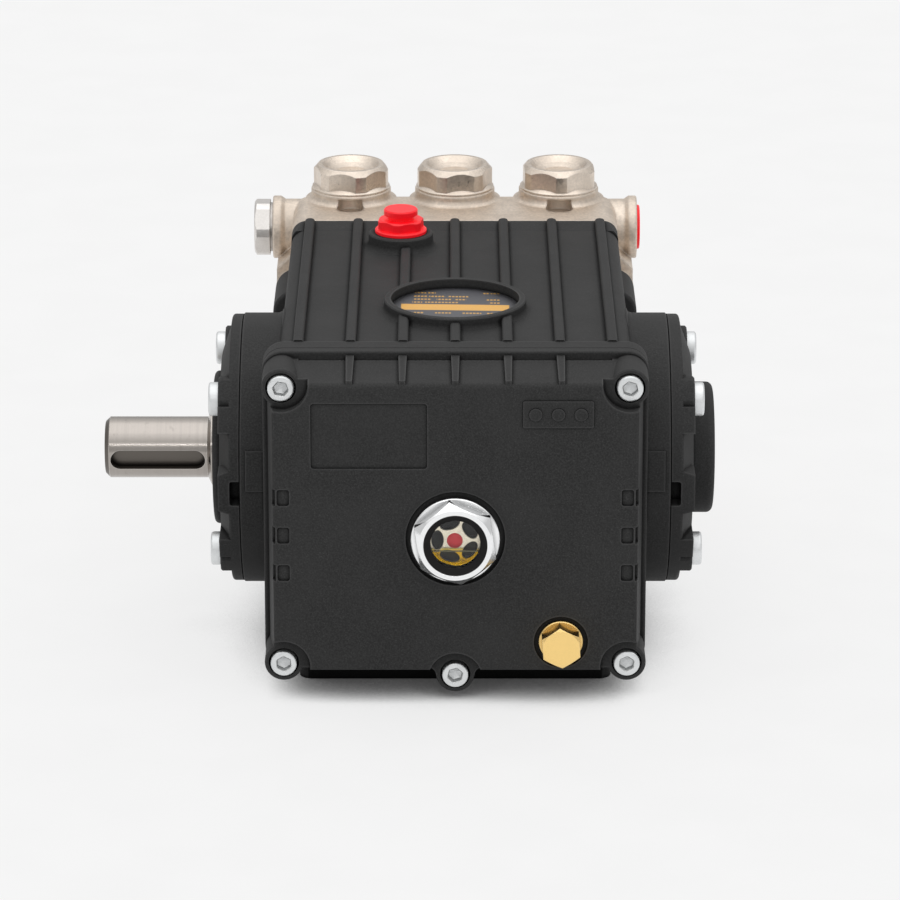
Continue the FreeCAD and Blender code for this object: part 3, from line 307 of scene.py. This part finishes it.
def metal(name, colour, roughness, spread, speck, relief, edge_shine=0.3, mottle=0.88, corner_shade_strength=0.45):
    """A metal with a painted highlight on its edges and painted shade in its corners.

    Its roughness goes up and down by the spread, in specks of a size in millimetres. The relief is
    in millimetres too.
    """
    finish = Finish(name, Metallic=1.0)
    specks = finish.grain(speck, 3.0, 0.6)
    patches = finish.grain(9.0, 2.0)
    # Painted shade in the corners, and a painted highlight with some wear on the edges
    corner_shade = finish.creases(CORNER_SHADE_REACH)
    worn_and_highlit = finish.edges(WORN_HIGHLIT_EDGE) * (1 - corner_shade)
    tone = finish.mix(specks.ramp(0.25, 0.75), tint(colour, mottle), tint(colour))
    tone = finish.mix(patches.ramp(0.35, 0.7) * 0.4, tone, tint(colour, mottle * mottle))
    tone = finish.mix(worn_and_highlit * edge_shine, tone, tint(WEAR_AND_HIGHLIGHT))
    finish.set("Base Color", finish.mix(corner_shade * corner_shade_strength, tone, tint(colour, 0.25)))
    gloss = specks.ramp(0.25, 0.75, roughness - spread, roughness + spread)
    finish.set("Roughness", gloss + patches.ramp(0.3, 0.7, -0.03, 0.05) - worn_and_highlit * 0.06)
    finish.set("Normal", finish.bump(specks, relief, finish.rounded(0.3)))
    return finish


print("metal helper ready")

# %% [markdown]
# ## Nickel on the valve head
# The head is a casting with a warm nickel plate over its sand texture, so it is dull and slightly
# yellow. The caps are turned from bar and then plated: their dish is smooth and bright, their flats
# are duller. The plugs and their washers are plainer and greyer.

# %% Nickel
CHAMPAGNE = (0.80, 0.70, 0.60)


def cast_nickel():
    finish = metal("nickel_casting", CHAMPAGNE, 0.50, 0.06, 1.2, 0.02, mottle=0.76, corner_shade_strength=0.1)
    sand = finish.grain(0.9, 4.0, 0.7)
    hollows = finish.grain(5.0, 2.0)
    lumpy = finish.bump(hollows, 0.15, finish.rounded(1.4))
    finish.set("Normal", finish.bump(sand, 0.07, lumpy))
    return finish.material


def turned_nickel():
    finish = metal("nickel_cap", CHAMPAGNE, 0.34, 0.06, 1.0, 0.006, 0.5, mottle=0.80)
    milled = finish.grain(0.5, 3.0, 0.6, (1.0, 1.0, 0.08))
    pits = finish.grain(1.1, 3.0, 0.6)
    scored = finish.bump(milled, 0.02, finish.rounded(0.4))
    finish.set("Normal", finish.bump(pits, 0.02, scored))
    return finish.material


NICKEL_CAST = cast_nickel()
NICKEL_TURNED = turned_nickel()
NICKEL_PLUG = metal("nickel_plug", (0.79, 0.76, 0.73), 0.36, 0.03, 0.6, 0.005).material
SOFT_WASHER = metal("soft_washer", (0.78, 0.74, 0.70), 0.38, 0.04, 0.5, 0.006).material
print("nickel made")

# %% [markdown]
# ## The ground shaft
# A drive shaft is turned and then ground, which leaves very fine lines round it. The lines depend
# only on the place along the shaft, so they come from one-dimensional noise. The keyway is milled
# and drawn darker, and near black in its corners as painted shade: its floor lies nearer to the
# axis than the ground skin, and that distance is the mask.

# %% Ground steel
SHAFT_RADIUS = 12.0
GROUND = (0.41, 0.378, 0.348)
OILY = (0.26, 0.235, 0.21)


def ground_steel():
    finish = metal("machined_steel", GROUND, 0.2, 0.02, 0.6, 0.001)
    across, along, up = finish.axes()
    lines = finish.tool_marks(across, 0.16, 3.0)
    bands = finish.tool_marks(across, 2.6, 2.0)
    radius = (along * along + (up - SHAFT_HEIGHT) ** 2.0) ** 0.5
    keyway = radius.ramp(SHAFT_RADIUS - 0.45, SHAFT_RADIUS - 0.15, 1.0, 0.0)
    stains = finish.grain(2.6, 4.0, 0.65)
    skin = finish.mix(lines.ramp(0.3, 0.7), tint(GROUND, 0.93), tint(GROUND, 1.04))
    skin = finish.mix(bands.ramp(0.4, 0.7) * 0.35, skin, tint(GROUND, 0.86))
    skin = finish.mix(stains.ramp(0.56, 0.72) * 0.35, skin, tint(OILY))
    # Painted highlight, with some wear, on the shaft's edges
    skin = finish.mix(finish.edges(WORN_HIGHLIT_EDGE) * 0.35, skin, tint(WEAR_AND_HIGHLIGHT))
    # The keyway floor is drawn darker, and near black in its corners as painted shade
    floor = finish.mix(finish.creases(2.2) * 0.9, tint(OILY, 0.55), tint(OILY, 0.08))
    finish.set("Base Color", finish.mix(keyway, skin, floor))
    finish.set("Roughness", lines.ramp(0.25, 0.75, 0.17, 0.22) + keyway * 0.2)
    finish.set("Normal", finish.bump(lines, 0.0008))
    return finish.material


STEEL = ground_steel()
print(STEEL.name, "made")

# %% [markdown]
# ## Bright zinc, chrome and brass
# The screws have a pale zinc coat. The walls of their sockets take a darker copy of it, painted
# shade where light hardly gets in. The sight glass nut is chromed over turned rings, which are
# circles round its own axis, so the same one-dimensional noise runs along the distance from that
# axis. The brass drain plug is turned too and then left bare.

# %% Zinc, chrome and brass
SIGHT_HEIGHT = SHAFT_HEIGHT - 7.0
DRAIN_ACROSS, DRAIN_HEIGHT = 40.0, SHAFT_HEIGHT - 48.4
ZINC = metal("zinc_plate", (0.82, 0.835, 0.84), 0.46, 0.05, 0.5, 0.006, 0.4, corner_shade_strength=0.15).material
# A darker, shaded copy of the zinc for the socket walls: painted shade
ZINC_SHADED = metal("zinc_socket_painted_shade", (0.55, 0.56, 0.56), 0.30, 0.05, 0.5, 0.006, 0.2).material


def turned_metal(name, colour, roughness, centre_x, centre_z, depth):
    """A turned face metal, its rings round an axis that runs along the pump."""
    finish = metal(name, colour, roughness, 0.02, 0.8, 0.001, mottle=0.96)
    across, _, up = finish.axes()
    radius = ((across - centre_x) ** 2.0 + (up - centre_z) ** 2.0) ** 0.5
    rings = finish.tool_marks(radius, 0.28, 2.0)
    finish.set("Normal", finish.bump(rings, depth, finish.rounded(0.25)))
    return finish.material


CHROME = turned_metal("bright_chrome", (0.95, 0.955, 0.96), 0.15, 0.0, SIGHT_HEIGHT, 0.009)
BRASS = turned_metal("yellow_brass", (1.0, 0.70, 0.27), 0.24, DRAIN_ACROSS, DRAIN_HEIGHT, 0.004)
print("zinc, chrome and brass made")

# %% [markdown]
# ## Plastic and rubber
# The filler cap and the plugs in the open ports are moulded in a clear red with a soft sheen, and
# their red glows a little, which is painted light on the sides the lamps leave dim. The shaft's
# seal and the ring that holds the window are black rubber. The reflector behind the oil is cream
# plastic with a silvery sheen, and the dot on it is red.

# %% Plastic and rubber
def moulded(name, colour, roughness, relief=0.01, metallic=0.0, emission=0.0, bending=1.47):
    """A moulded plastic or rubber with a faint grain, silvery or glowing a little if asked."""
    finish = Finish(name, IOR=bending, Metallic=metallic, Emission_Strength=emission)
    finish.set("Emission Color", tint(colour))
    grain = finish.grain(0.4, 3.0, 0.5)
    clouds = finish.grain(5.0, 2.0)
    # Paler edges: a painted highlight with a little wear
    worn_and_highlit = finish.edges(WORN_HIGHLIT_EDGE)
    pale = tuple(channel * 1.05 + 0.02 for channel in colour)
    tone = finish.mix(clouds.ramp(0.3, 0.7), tint(colour, 0.88), tint(colour))
    finish.set("Base Color", finish.mix(worn_and_highlit * 0.4, tone, tint(pale)))
    finish.set("Roughness", grain.ramp(0.3, 0.7, roughness - 0.05, roughness + 0.05))
    finish.set("Normal", finish.bump(grain, relief, finish.rounded(0.3)))
    return finish.material


# The red glows a little: painted light that lifts its dim sides
RED = moulded("red_plastic", (1.0, 0.003, 0.012), 0.36, emission=0.14)
RUBBER = moulded("seal_rubber", (0.013, 0.012, 0.012), 0.62, 0.02, bending=1.25)
REFLECTOR = moulded("reflector_plastic", (0.98, 0.90, 0.72), 0.30, metallic=0.8)
DOT_RED = moulded("dot_red", (0.85, 0.04, 0.05), 0.42, metallic=0.3)
print("plastics and rubber made")

# %% [markdown]
# ## Window and oil
# The window is clear glass. Below the level the space behind it holds amber oil, which lets light
# through and colours it. Both are Principled shaders with full transmission, and the oil bends the
# light less than the glass does.

# %% Window and oil finishes
def clear(name, colour, bending, roughness):
    """Something to look through, with faint streaks in its gloss."""
    finish = Finish(name, IOR=bending, Transmission_Weight=1.0)
    streaks = finish.grain(3.0, 2.0)
    finish.set("Base Color", finish.mix(streaks.ramp(0.3, 0.7), tint(colour, 0.96), tint(colour)))
    finish.set("Roughness", streaks.ramp(0.3, 0.7, roughness, roughness + 0.02))
    return finish.material


GLASS = clear("window_glass", (1.0, 1.0, 1.0), 1.33, 0.0)
OIL = clear("amber_oil", (1.0, 0.78, 0.10), 1.1, 0.0)
MENISCUS = moulded("oil_meniscus", (0.16, 0.15, 0.06), 0.20, 0.002)
print("window and oil finishes made")

# %% [markdown]
# ## The round plate
# A thin anodised plate lies in the ring on top. It is dark slate with a gold band across it and
# dashed gold lines above and below. The lines are masks in millimetres on the plate: each stretch
# is a soft box, and a short repeat along the plate cuts it into dashes. The plate sits a little
# turned.

# %% Lines of the round plate
PLATE_SHEAR = 0.045
BAND_LOW, BAND_HIGH, BAND_REACH = -7.0, 0.6, 21.0
DASH_HEIGHT = 1.5
DASH_PITCH = 1.35
SLATE_DARK, SLATE_PALE = tint((0.062, 0.062, 0.070)), tint((0.085, 0.085, 0.095))
GILT_DARK, GILT_PALE = tint((0.70, 0.37, 0.075)), tint((0.80, 0.44, 0.095))
# The middle of each dashed line, and where its stretches start and end
STRETCHES = [
    (15.5, [(-15.8, -11.3), (-10.5, -7.6), (11.1, 13.2), (14.0, 17.7)]),
    (10.9, [(-16.1, -10.9), (-10.2, -3.9), (-2.9, 5.3)]),
    (7.0, [(-16.3, -9.3), (-7.2, -1.6), (-0.2, 4.3), (12.3, 17.5)]),
    (3.1, [(-16.7, -12.8), (-11.7, 1.4), (13.2, 17.5)]),
    (-10.6, [(-17.1, -12.1), (-7.8, -1.6), (2.7, 10.1), (11.9, 16.0)]),
]


def plate_finish():
    finish = Finish("dark_plate", IOR=1.5)
    across, along, _ = finish.axes()
    level = along + across * PLATE_SHEAR
    band = level.between(BAND_LOW, BAND_HIGH, 0.15) * across.between(-BAND_REACH, BAND_REACH, 0.15)
    gold = 0.0
    dashes = across.repeat(DASH_PITCH).between(0.12, 0.82, 0.06)
    for middle, stretches in STRETCHES:
        row = level.between(middle - DASH_HEIGHT / 2, middle + DASH_HEIGHT / 2, 0.12) * dashes
        marks = 0.0
        for start, end in stretches:
            marks = across.between(start, end, 0.1) + marks
        gold = row * marks + gold
    grain = finish.grain(0.4, 3.0, 0.6)
    slate = finish.mix(grain.ramp(0.3, 0.7), SLATE_DARK, SLATE_PALE)
    gilt = finish.mix(grain.ramp(0.3, 0.7), GILT_DARK, GILT_PALE)
    printed = finish.mix(band, finish.mix(gold * 0.75, slate, gilt), gilt)
    shaded = finish.creases(5.0) * 0.8
    finish.set("Base Color", finish.mix(shaded, printed, grey(0.006)))
    finish.set("Roughness", grain.ramp(0.3, 0.7, 0.36, 0.46))
    finish.set("Normal", finish.bump(grain, 0.008))
    return finish.material


PLATE = plate_finish()
print("plate with", sum(len(stretches) for _, stretches in STRETCHES), "dashed stretches")

# %% [markdown]
# ## Dressing the solids
# Every solid names its finish in the record, so the solids are dressed by that name. Their shapes
# stay as they are.

# %% Dress the solids
FINISHES = {
    "black_casting": CASTING,
    "seal_rubber": RUBBER,
    "machined_steel": STEEL,
    "nickel_casting": NICKEL_CAST,
    "nickel_cap": NICKEL_TURNED,
    "nickel_plug": NICKEL_PLUG,
    "soft_washer": SOFT_WASHER,
    "red_plastic": RED,
    "bright_chrome": CHROME,
    "window_glass": GLASS,
    "reflector_plastic": REFLECTOR,
    "yellow_brass": BRASS,
    "dark_plate": PLATE,
}
for part in frame["record"]["subparts"]:
    solid = nodes[part["node"]]
    solid.data.materials.clear()
    solid.data.materials.append(FINISHES[part["material_slot"]])
print(len(nodes), "solids dressed")

# %% [markdown]
# ## Socket screws
# All the screws are socket heads, M6 round the cover and M8 elsewhere. A head is a stack of loops
# of points, joined into faces: the side, a rounded shoulder, the flat, then the six-sided socket
# with a small lead-in and a cone at its bottom. Drawn at their real size they can be set straight
# into the counterbores of the solids.

# %% A socket screw as a mesh
SCREW_SIDES = 48
SHOULDER_STEPS = 4
SOCKET_LEAD_IN = 0.35
SOCKET_CONE = 0.9
SHARP_ANGLE = 35.0


def loop(mesh, reach, height, six_sided=False):
    """One loop of points round the axis, a circle or a hexagon."""
    points = []
    for index in range(SCREW_SIDES):
        angle = 2 * math.pi * index / SCREW_SIDES
        away = reach
        if six_sided:
            sector = (angle + math.pi / 6) % (math.pi / 3) - math.pi / 6
            away = reach / math.cos(sector)
        place = Vector((away * math.cos(angle), away * math.sin(angle), height)) * MM
        points.append(mesh.verts.new(place))
    return points


def joined(mesh, loops):
    """Faces between each loop and the next, and over both ends."""
    for lower, upper in zip(loops, loops[1:]):
        for index in range(SCREW_SIDES):
            after = (index + 1) % SCREW_SIDES
            mesh.faces.new((lower[index], lower[after], upper[after], upper[index]))
    mesh.faces.new(loops[-1])
    mesh.faces.new(list(reversed(loops[0])))


def mesh_data(name, mesh, material):
    """A finished mesh from a bmesh, smooth but for its sharp edges."""
    bmesh.ops.recalc_face_normals(mesh, faces=mesh.faces)
    data = bpy.data.meshes.new(name)
    mesh.to_mesh(data)
    mesh.free()
    for face in data.polygons:
        face.use_smooth = True
    data.set_sharp_from_angle(angle=math.radians(SHARP_ANGLE))
    data.materials.append(material)
    return data


def screw_mesh(name, head, length, socket, depth, edge):
    """A socket head screw standing on z = 0, all sizes given in millimetres."""
    mesh = bmesh.new()
    radius = head / 2
    loops = [loop(mesh, radius, 0)]
    for step in range(SHOULDER_STEPS + 1):
        turn = math.radians(90 * step / SHOULDER_STEPS)
        reach = radius - edge + edge * math.cos(turn)
        loops.append(loop(mesh, reach, length - edge + edge * math.sin(turn)))
    loops.append(loop(mesh, socket / 2 + SOCKET_LEAD_IN, length, True))
    loops.append(loop(mesh, socket / 2, length - SOCKET_LEAD_IN, True))
    loops.append(loop(mesh, socket / 2, length - depth, True))
    loops.append(loop(mesh, socket / 8, length - depth - SOCKET_CONE))
    joined(mesh, loops)
    data = mesh_data(name, mesh, ZINC)
    # The socket walls take the shaded copy of the zinc: painted shade
    data.materials.append(ZINC_SHADED)
    for face in data.polygons:
        away = (face.center / MM).to_2d().length
        if abs(face.normal.z) < 0.8 and away < socket / 2 + SOCKET_LEAD_IN + 0.1:
            face.material_index = 1
    return data


M6_HEAD = screw_mesh("m6_head", head=10.0, length=6.0, socket=5.0, depth=3.0, edge=0.8)
M8_HEAD = screw_mesh("m8_head", head=13.0, length=8.0, socket=6.0, depth=4.0, edge=1.0)
print("screw heads with", len(M6_HEAD.polygons), "faces each")

# %% [markdown]
# ## Setting the screws
# Each screw sits on the floor of its counterbore. In the real pump nobody lines up the sockets, so
# every screw gets its own turn. Heights are counted from the shaft's axis.

# %% Set the screws
COVER_BOSS_FACE = -82.3
COVER_COUNTERBORE = 4.4
COVER_SCREWS = [(-65.2, 51.4), (65.2, 51.4), (-65.2, -58.5), (65.2, -58.5), (0.0, -63.2)]
BEARING_LUGS = {"left": (-1, 90.9), "right": (1, 91.8)}
BEARING_COUNTERBORE = 4.2
BEARING_SCREWS = [(-32.3, 30.5), (-32.3, -30.5), (32.3, 30.5), (32.3, -30.5)]
HEAD_SEAT = 170.0
HEAD_ROWS = (24.0, -36.0)
HEAD_COLUMNS = (-65.0, -21.675, 21.675, 65.0)


def facing(at, towards, turn=0.0):
    """The matrix that sets Z to a direction, at a point in millimetres."""
    aim = Vector(towards).to_track_quat("Z", "Y").to_matrix().to_4x4()
    return Matrix.Translation(Vector(at) * MM) @ aim @ Matrix.Rotation(turn, 4, "Z")


def place_screw(name, data, at, towards, turn):
    """Put one screw on its seat at a point in millimetres, its head facing a direction."""
    screw = bpy.data.objects.new(name, data)
    screw.matrix_world = facing(at, towards, turn)
    bpy.context.scene.collection.objects.link(screw)
    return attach(screw, "pump")


for index, (x, z) in enumerate(COVER_SCREWS):
    at = (x, COVER_BOSS_FACE + COVER_COUNTERBORE, z + SHAFT_HEIGHT)
    place_screw(f"cover_screw_{index + 1}", M6_HEAD, at, (0, -1, 0), 0.35 + 0.9 * index)
for side, (direction, lug_face) in BEARING_LUGS.items():
    for index, (y, z) in enumerate(BEARING_SCREWS):
        name = f"{side}_bearing_screw_{index + 1}"
        at = (direction * (lug_face - BEARING_COUNTERBORE), y, z + SHAFT_HEIGHT)
        place_screw(name, M8_HEAD, at, (direction, 0, 0), 0.5 * index)
for row, z in enumerate(HEAD_ROWS):
    for column, x in enumerate(HEAD_COLUMNS):
        name = f"head_screw_{len(HEAD_COLUMNS) * row + column + 1}"
        at = (x, HEAD_SEAT, z + SHAFT_HEIGHT)
        place_screw(name, M8_HEAD, at, (0, 1, 0), 0.4 * column)
print("screws set")

# %% [markdown]
# ## Oil behind the window
# The oil fills the bore between window and reflector up to its level. It is a slice of a round
# bar, cut off flat, so its outline is an arc closed by a straight line. Where oil meets glass it
# climbs a little, and that dark line is a thin strip of its own. A red dot marks the middle of the
# reflector.

# %% Oil, its rim and the red dot
BORE_RADIUS = 9.46
WINDOW_BACK = -88.68
REFLECTOR_FACE = -86.72
OIL_LEVEL = 63.0
RIM_BOTTOM, RIM_TOP, RIM_DEPTH = 0.02, 0.45, 0.5
ARC_STEPS = 40
DOT_RADIUS = 3.0
DOT_PLACE = (-0.2, REFLECTOR_FACE + 0.01, SIGHT_HEIGHT - 0.2)


def bore_slice(name, low, high, front, back, material):
    """What fills the round bore between two heights and two depths."""
    mesh = bmesh.new()
    outline = []
    top = math.asin((high - SIGHT_HEIGHT) / BORE_RADIUS)
    bottom = math.asin(max((low - SIGHT_HEIGHT) / BORE_RADIUS, -1.0))
    for step in range(ARC_STEPS + 1):
        angle = bottom + (top - bottom) * step / ARC_STEPS
        x, z = BORE_RADIUS * math.cos(angle), SIGHT_HEIGHT + BORE_RADIUS * math.sin(angle)
        outline.append((x, z))
    outline += [(-x, z) for x, z in reversed(outline) if x > 0.001]
    rings = []
    for y in (front, back):
        rings.append([mesh.verts.new(Vector((x, y, z)) * MM) for x, z in outline])
    for index in range(len(outline)):
        after = (index + 1) % len(outline)
        mesh.faces.new((rings[0][index], rings[0][after], rings[1][after], rings[1][index]))
    mesh.faces.new(rings[0])
    mesh.faces.new(list(reversed(rings[1])))
    piece = bpy.data.objects.new(name, mesh_data(name, mesh, material))
    bpy.context.scene.collection.objects.link(piece)
    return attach(piece, "pump")


def red_dot():
    """A low printed dot with a rounded rim, on the middle of the reflector."""
    mesh = bmesh.new()
    rim = [(DOT_RADIUS, 0.0), (DOT_RADIUS, 0.06), (DOT_RADIUS - 0.1, 0.12)]
    joined(mesh, [loop(mesh, reach, height) for reach, height in rim])
    dot = bpy.data.objects.new("red_dot", mesh_data("red_dot", mesh, DOT_RED))
    dot.matrix_world = facing(DOT_PLACE, (0, -1, 0))
    bpy.context.scene.collection.objects.link(dot)
    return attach(dot, "pump")


bore_low = SIGHT_HEIGHT - BORE_RADIUS
rim_low, rim_high = OIL_LEVEL + RIM_BOTTOM, OIL_LEVEL + RIM_TOP
bore_slice("oil", bore_low, OIL_LEVEL, WINDOW_BACK, REFLECTOR_FACE, OIL)
bore_slice("oil_meniscus", rim_low, rim_high, WINDOW_BACK, WINDOW_BACK + RIM_DEPTH, MENISCUS)
red_dot()
print("oil level at", OIL_LEVEL, "mm")

# %% [markdown]
# ## The studio floor
# The pump stands on a white sweep that shows as an even pale grey. Rays from the camera, from
# mirrors and through glass see that grey, with a close soft shadow that an Ambient Occlusion node
# gives and a share of the real one. Rays that only carry light see a darker floor, so the white
# sweep lights the pump from below only a little.

# %% The floor
FLOOR_GREY = 0.896
LIT_SHARE = 0.12
SHADOW_REACH = 70.0
SHADOW_RAYS = 8
FLOOR_SIZE = 16
SHADOW_GREY = 0.03
UNSEEN_GREY = 0.6


def floor_finish():
    finish = Finish("studio_floor", Roughness=0.85, Specular_IOR_Level=0.1, Emission_Strength=1.0)
    seen = finish.node("LightPath", output="Is Camera Ray")
    for kind in ("Is Glossy Ray", "Is Transmission Ray"):
        seen = seen.larger(finish.node("LightPath", output=kind))
    paper = finish.grain(40.0, 3.0)
    lit = finish.openness(SHADOW_REACH, SHADOW_RAYS).ramp(0.08, 0.52)
    glow = finish.mix(lit, grey(SHADOW_GREY), grey(FLOOR_GREY - LIT_SHARE - 0.01))
    finish.set("Emission Color", finish.mix(seen, grey(0.0), glow))
    shown = finish.mix(paper.ramp(0.3, 0.7), grey(LIT_SHARE), grey(LIT_SHARE + 0.01))
    finish.set("Base Color", finish.mix(seen, grey(UNSEEN_GREY), shown))
    finish.material.cycles.emission_sampling = "NONE"
    return finish.material


bpy.ops.mesh.primitive_plane_add(size=FLOOR_SIZE, location=(0, 0, 0))
floor = bpy.context.object
floor.name = "floor"
floor.data.materials.append(floor_finish())
print("floor laid")

# %% [markdown]
# ## The studio light
# Most of the light comes from above, as in a shooting tent with dimmer sides. The sky brightens in
# two steps, a quick one about a quarter of the way up and a slow one towards the top, and a wide
# soft lamp hangs in front of its brightest part. A long thin strip in front gives the crisp line
# along the shaft. The camera itself sees the sky in the grey of the floor.

# %% Sky and lamps
# Where a step starts and ends, and its brightness below and above it
LOW_SKY = (0.36, 0.50, 0.58, 0.86)
HIGH_SKY = (0.55, 0.97, 0.0, 0.65)
TARGET = (0.0, 0.03, 0.07)
# Name, place, width, height and power
LAMPS = [
    ("overhead_lamp", (0.0, 0.15, 1.7), 1.6, 1.6, 1.6),
    ("strip_lamp", (0.0, -2.1, 1.125), 1.9, 0.035, 3.0),
]
world = bpy.data.worlds.new("studio")
bpy.context.scene.world = world
world.use_nodes = True
sky = world.node_tree
backdrop = sky.nodes["Background"]
backdrop.inputs["Color"].default_value = grey(1.0)
direction = sky.nodes.new("ShaderNodeTexCoord")
split = sky.nodes.new("ShaderNodeSeparateXYZ")
sky.links.new(direction.outputs["Generated"], split.inputs[0])


def sky_step(low, high, start, end):
    """Brightness that rises between two heights, where 0 is the ground and 1 is overhead."""
    step = sky.nodes.new("ShaderNodeMapRange")
    step.interpolation_type = "SMOOTHSTEP"
    sockets = {"From Min": low, "From Max": high, "To Min": start, "To Max": end}
    for socket, value in sockets.items():
        step.inputs[socket].default_value = value
    sky.links.new(split.outputs["Z"], step.inputs["Value"])
    return step.outputs[0]


rise = sky.nodes.new("ShaderNodeMath")
sky.links.new(sky_step(*LOW_SKY), rise.inputs[0])
sky.links.new(sky_step(*HIGH_SKY), rise.inputs[1])
seen = sky.nodes.new("ShaderNodeLightPath")
choice = sky.nodes.new("ShaderNodeMix")
choice.inputs["B"].default_value = FLOOR_GREY
sky.links.new(seen.outputs["Is Camera Ray"], choice.inputs["Factor"])
sky.links.new(rise.outputs[0], choice.inputs["A"])
sky.links.new(choice.outputs["Result"], backdrop.inputs["Strength"])


def area_lamp(name, place, width, height, power):
    """A soft rectangular lamp that looks at the pump."""
    data = bpy.data.lights.new(name, "AREA")
    data.shape = "RECTANGLE"
    data.size, data.size_y = width, height
    data.energy = power
    lamp = bpy.data.objects.new(name, data)
    lamp.location = place
    lamp.rotation_mode = "QUATERNION"
    lamp.rotation_quaternion = (Vector(TARGET) - Vector(place)).to_track_quat("-Z", "Y")
    bpy.context.scene.collection.objects.link(lamp)


for lamp_values in LAMPS:
    area_lamp(*lamp_values)
print("studio ready with", len(LAMPS), "lamps")
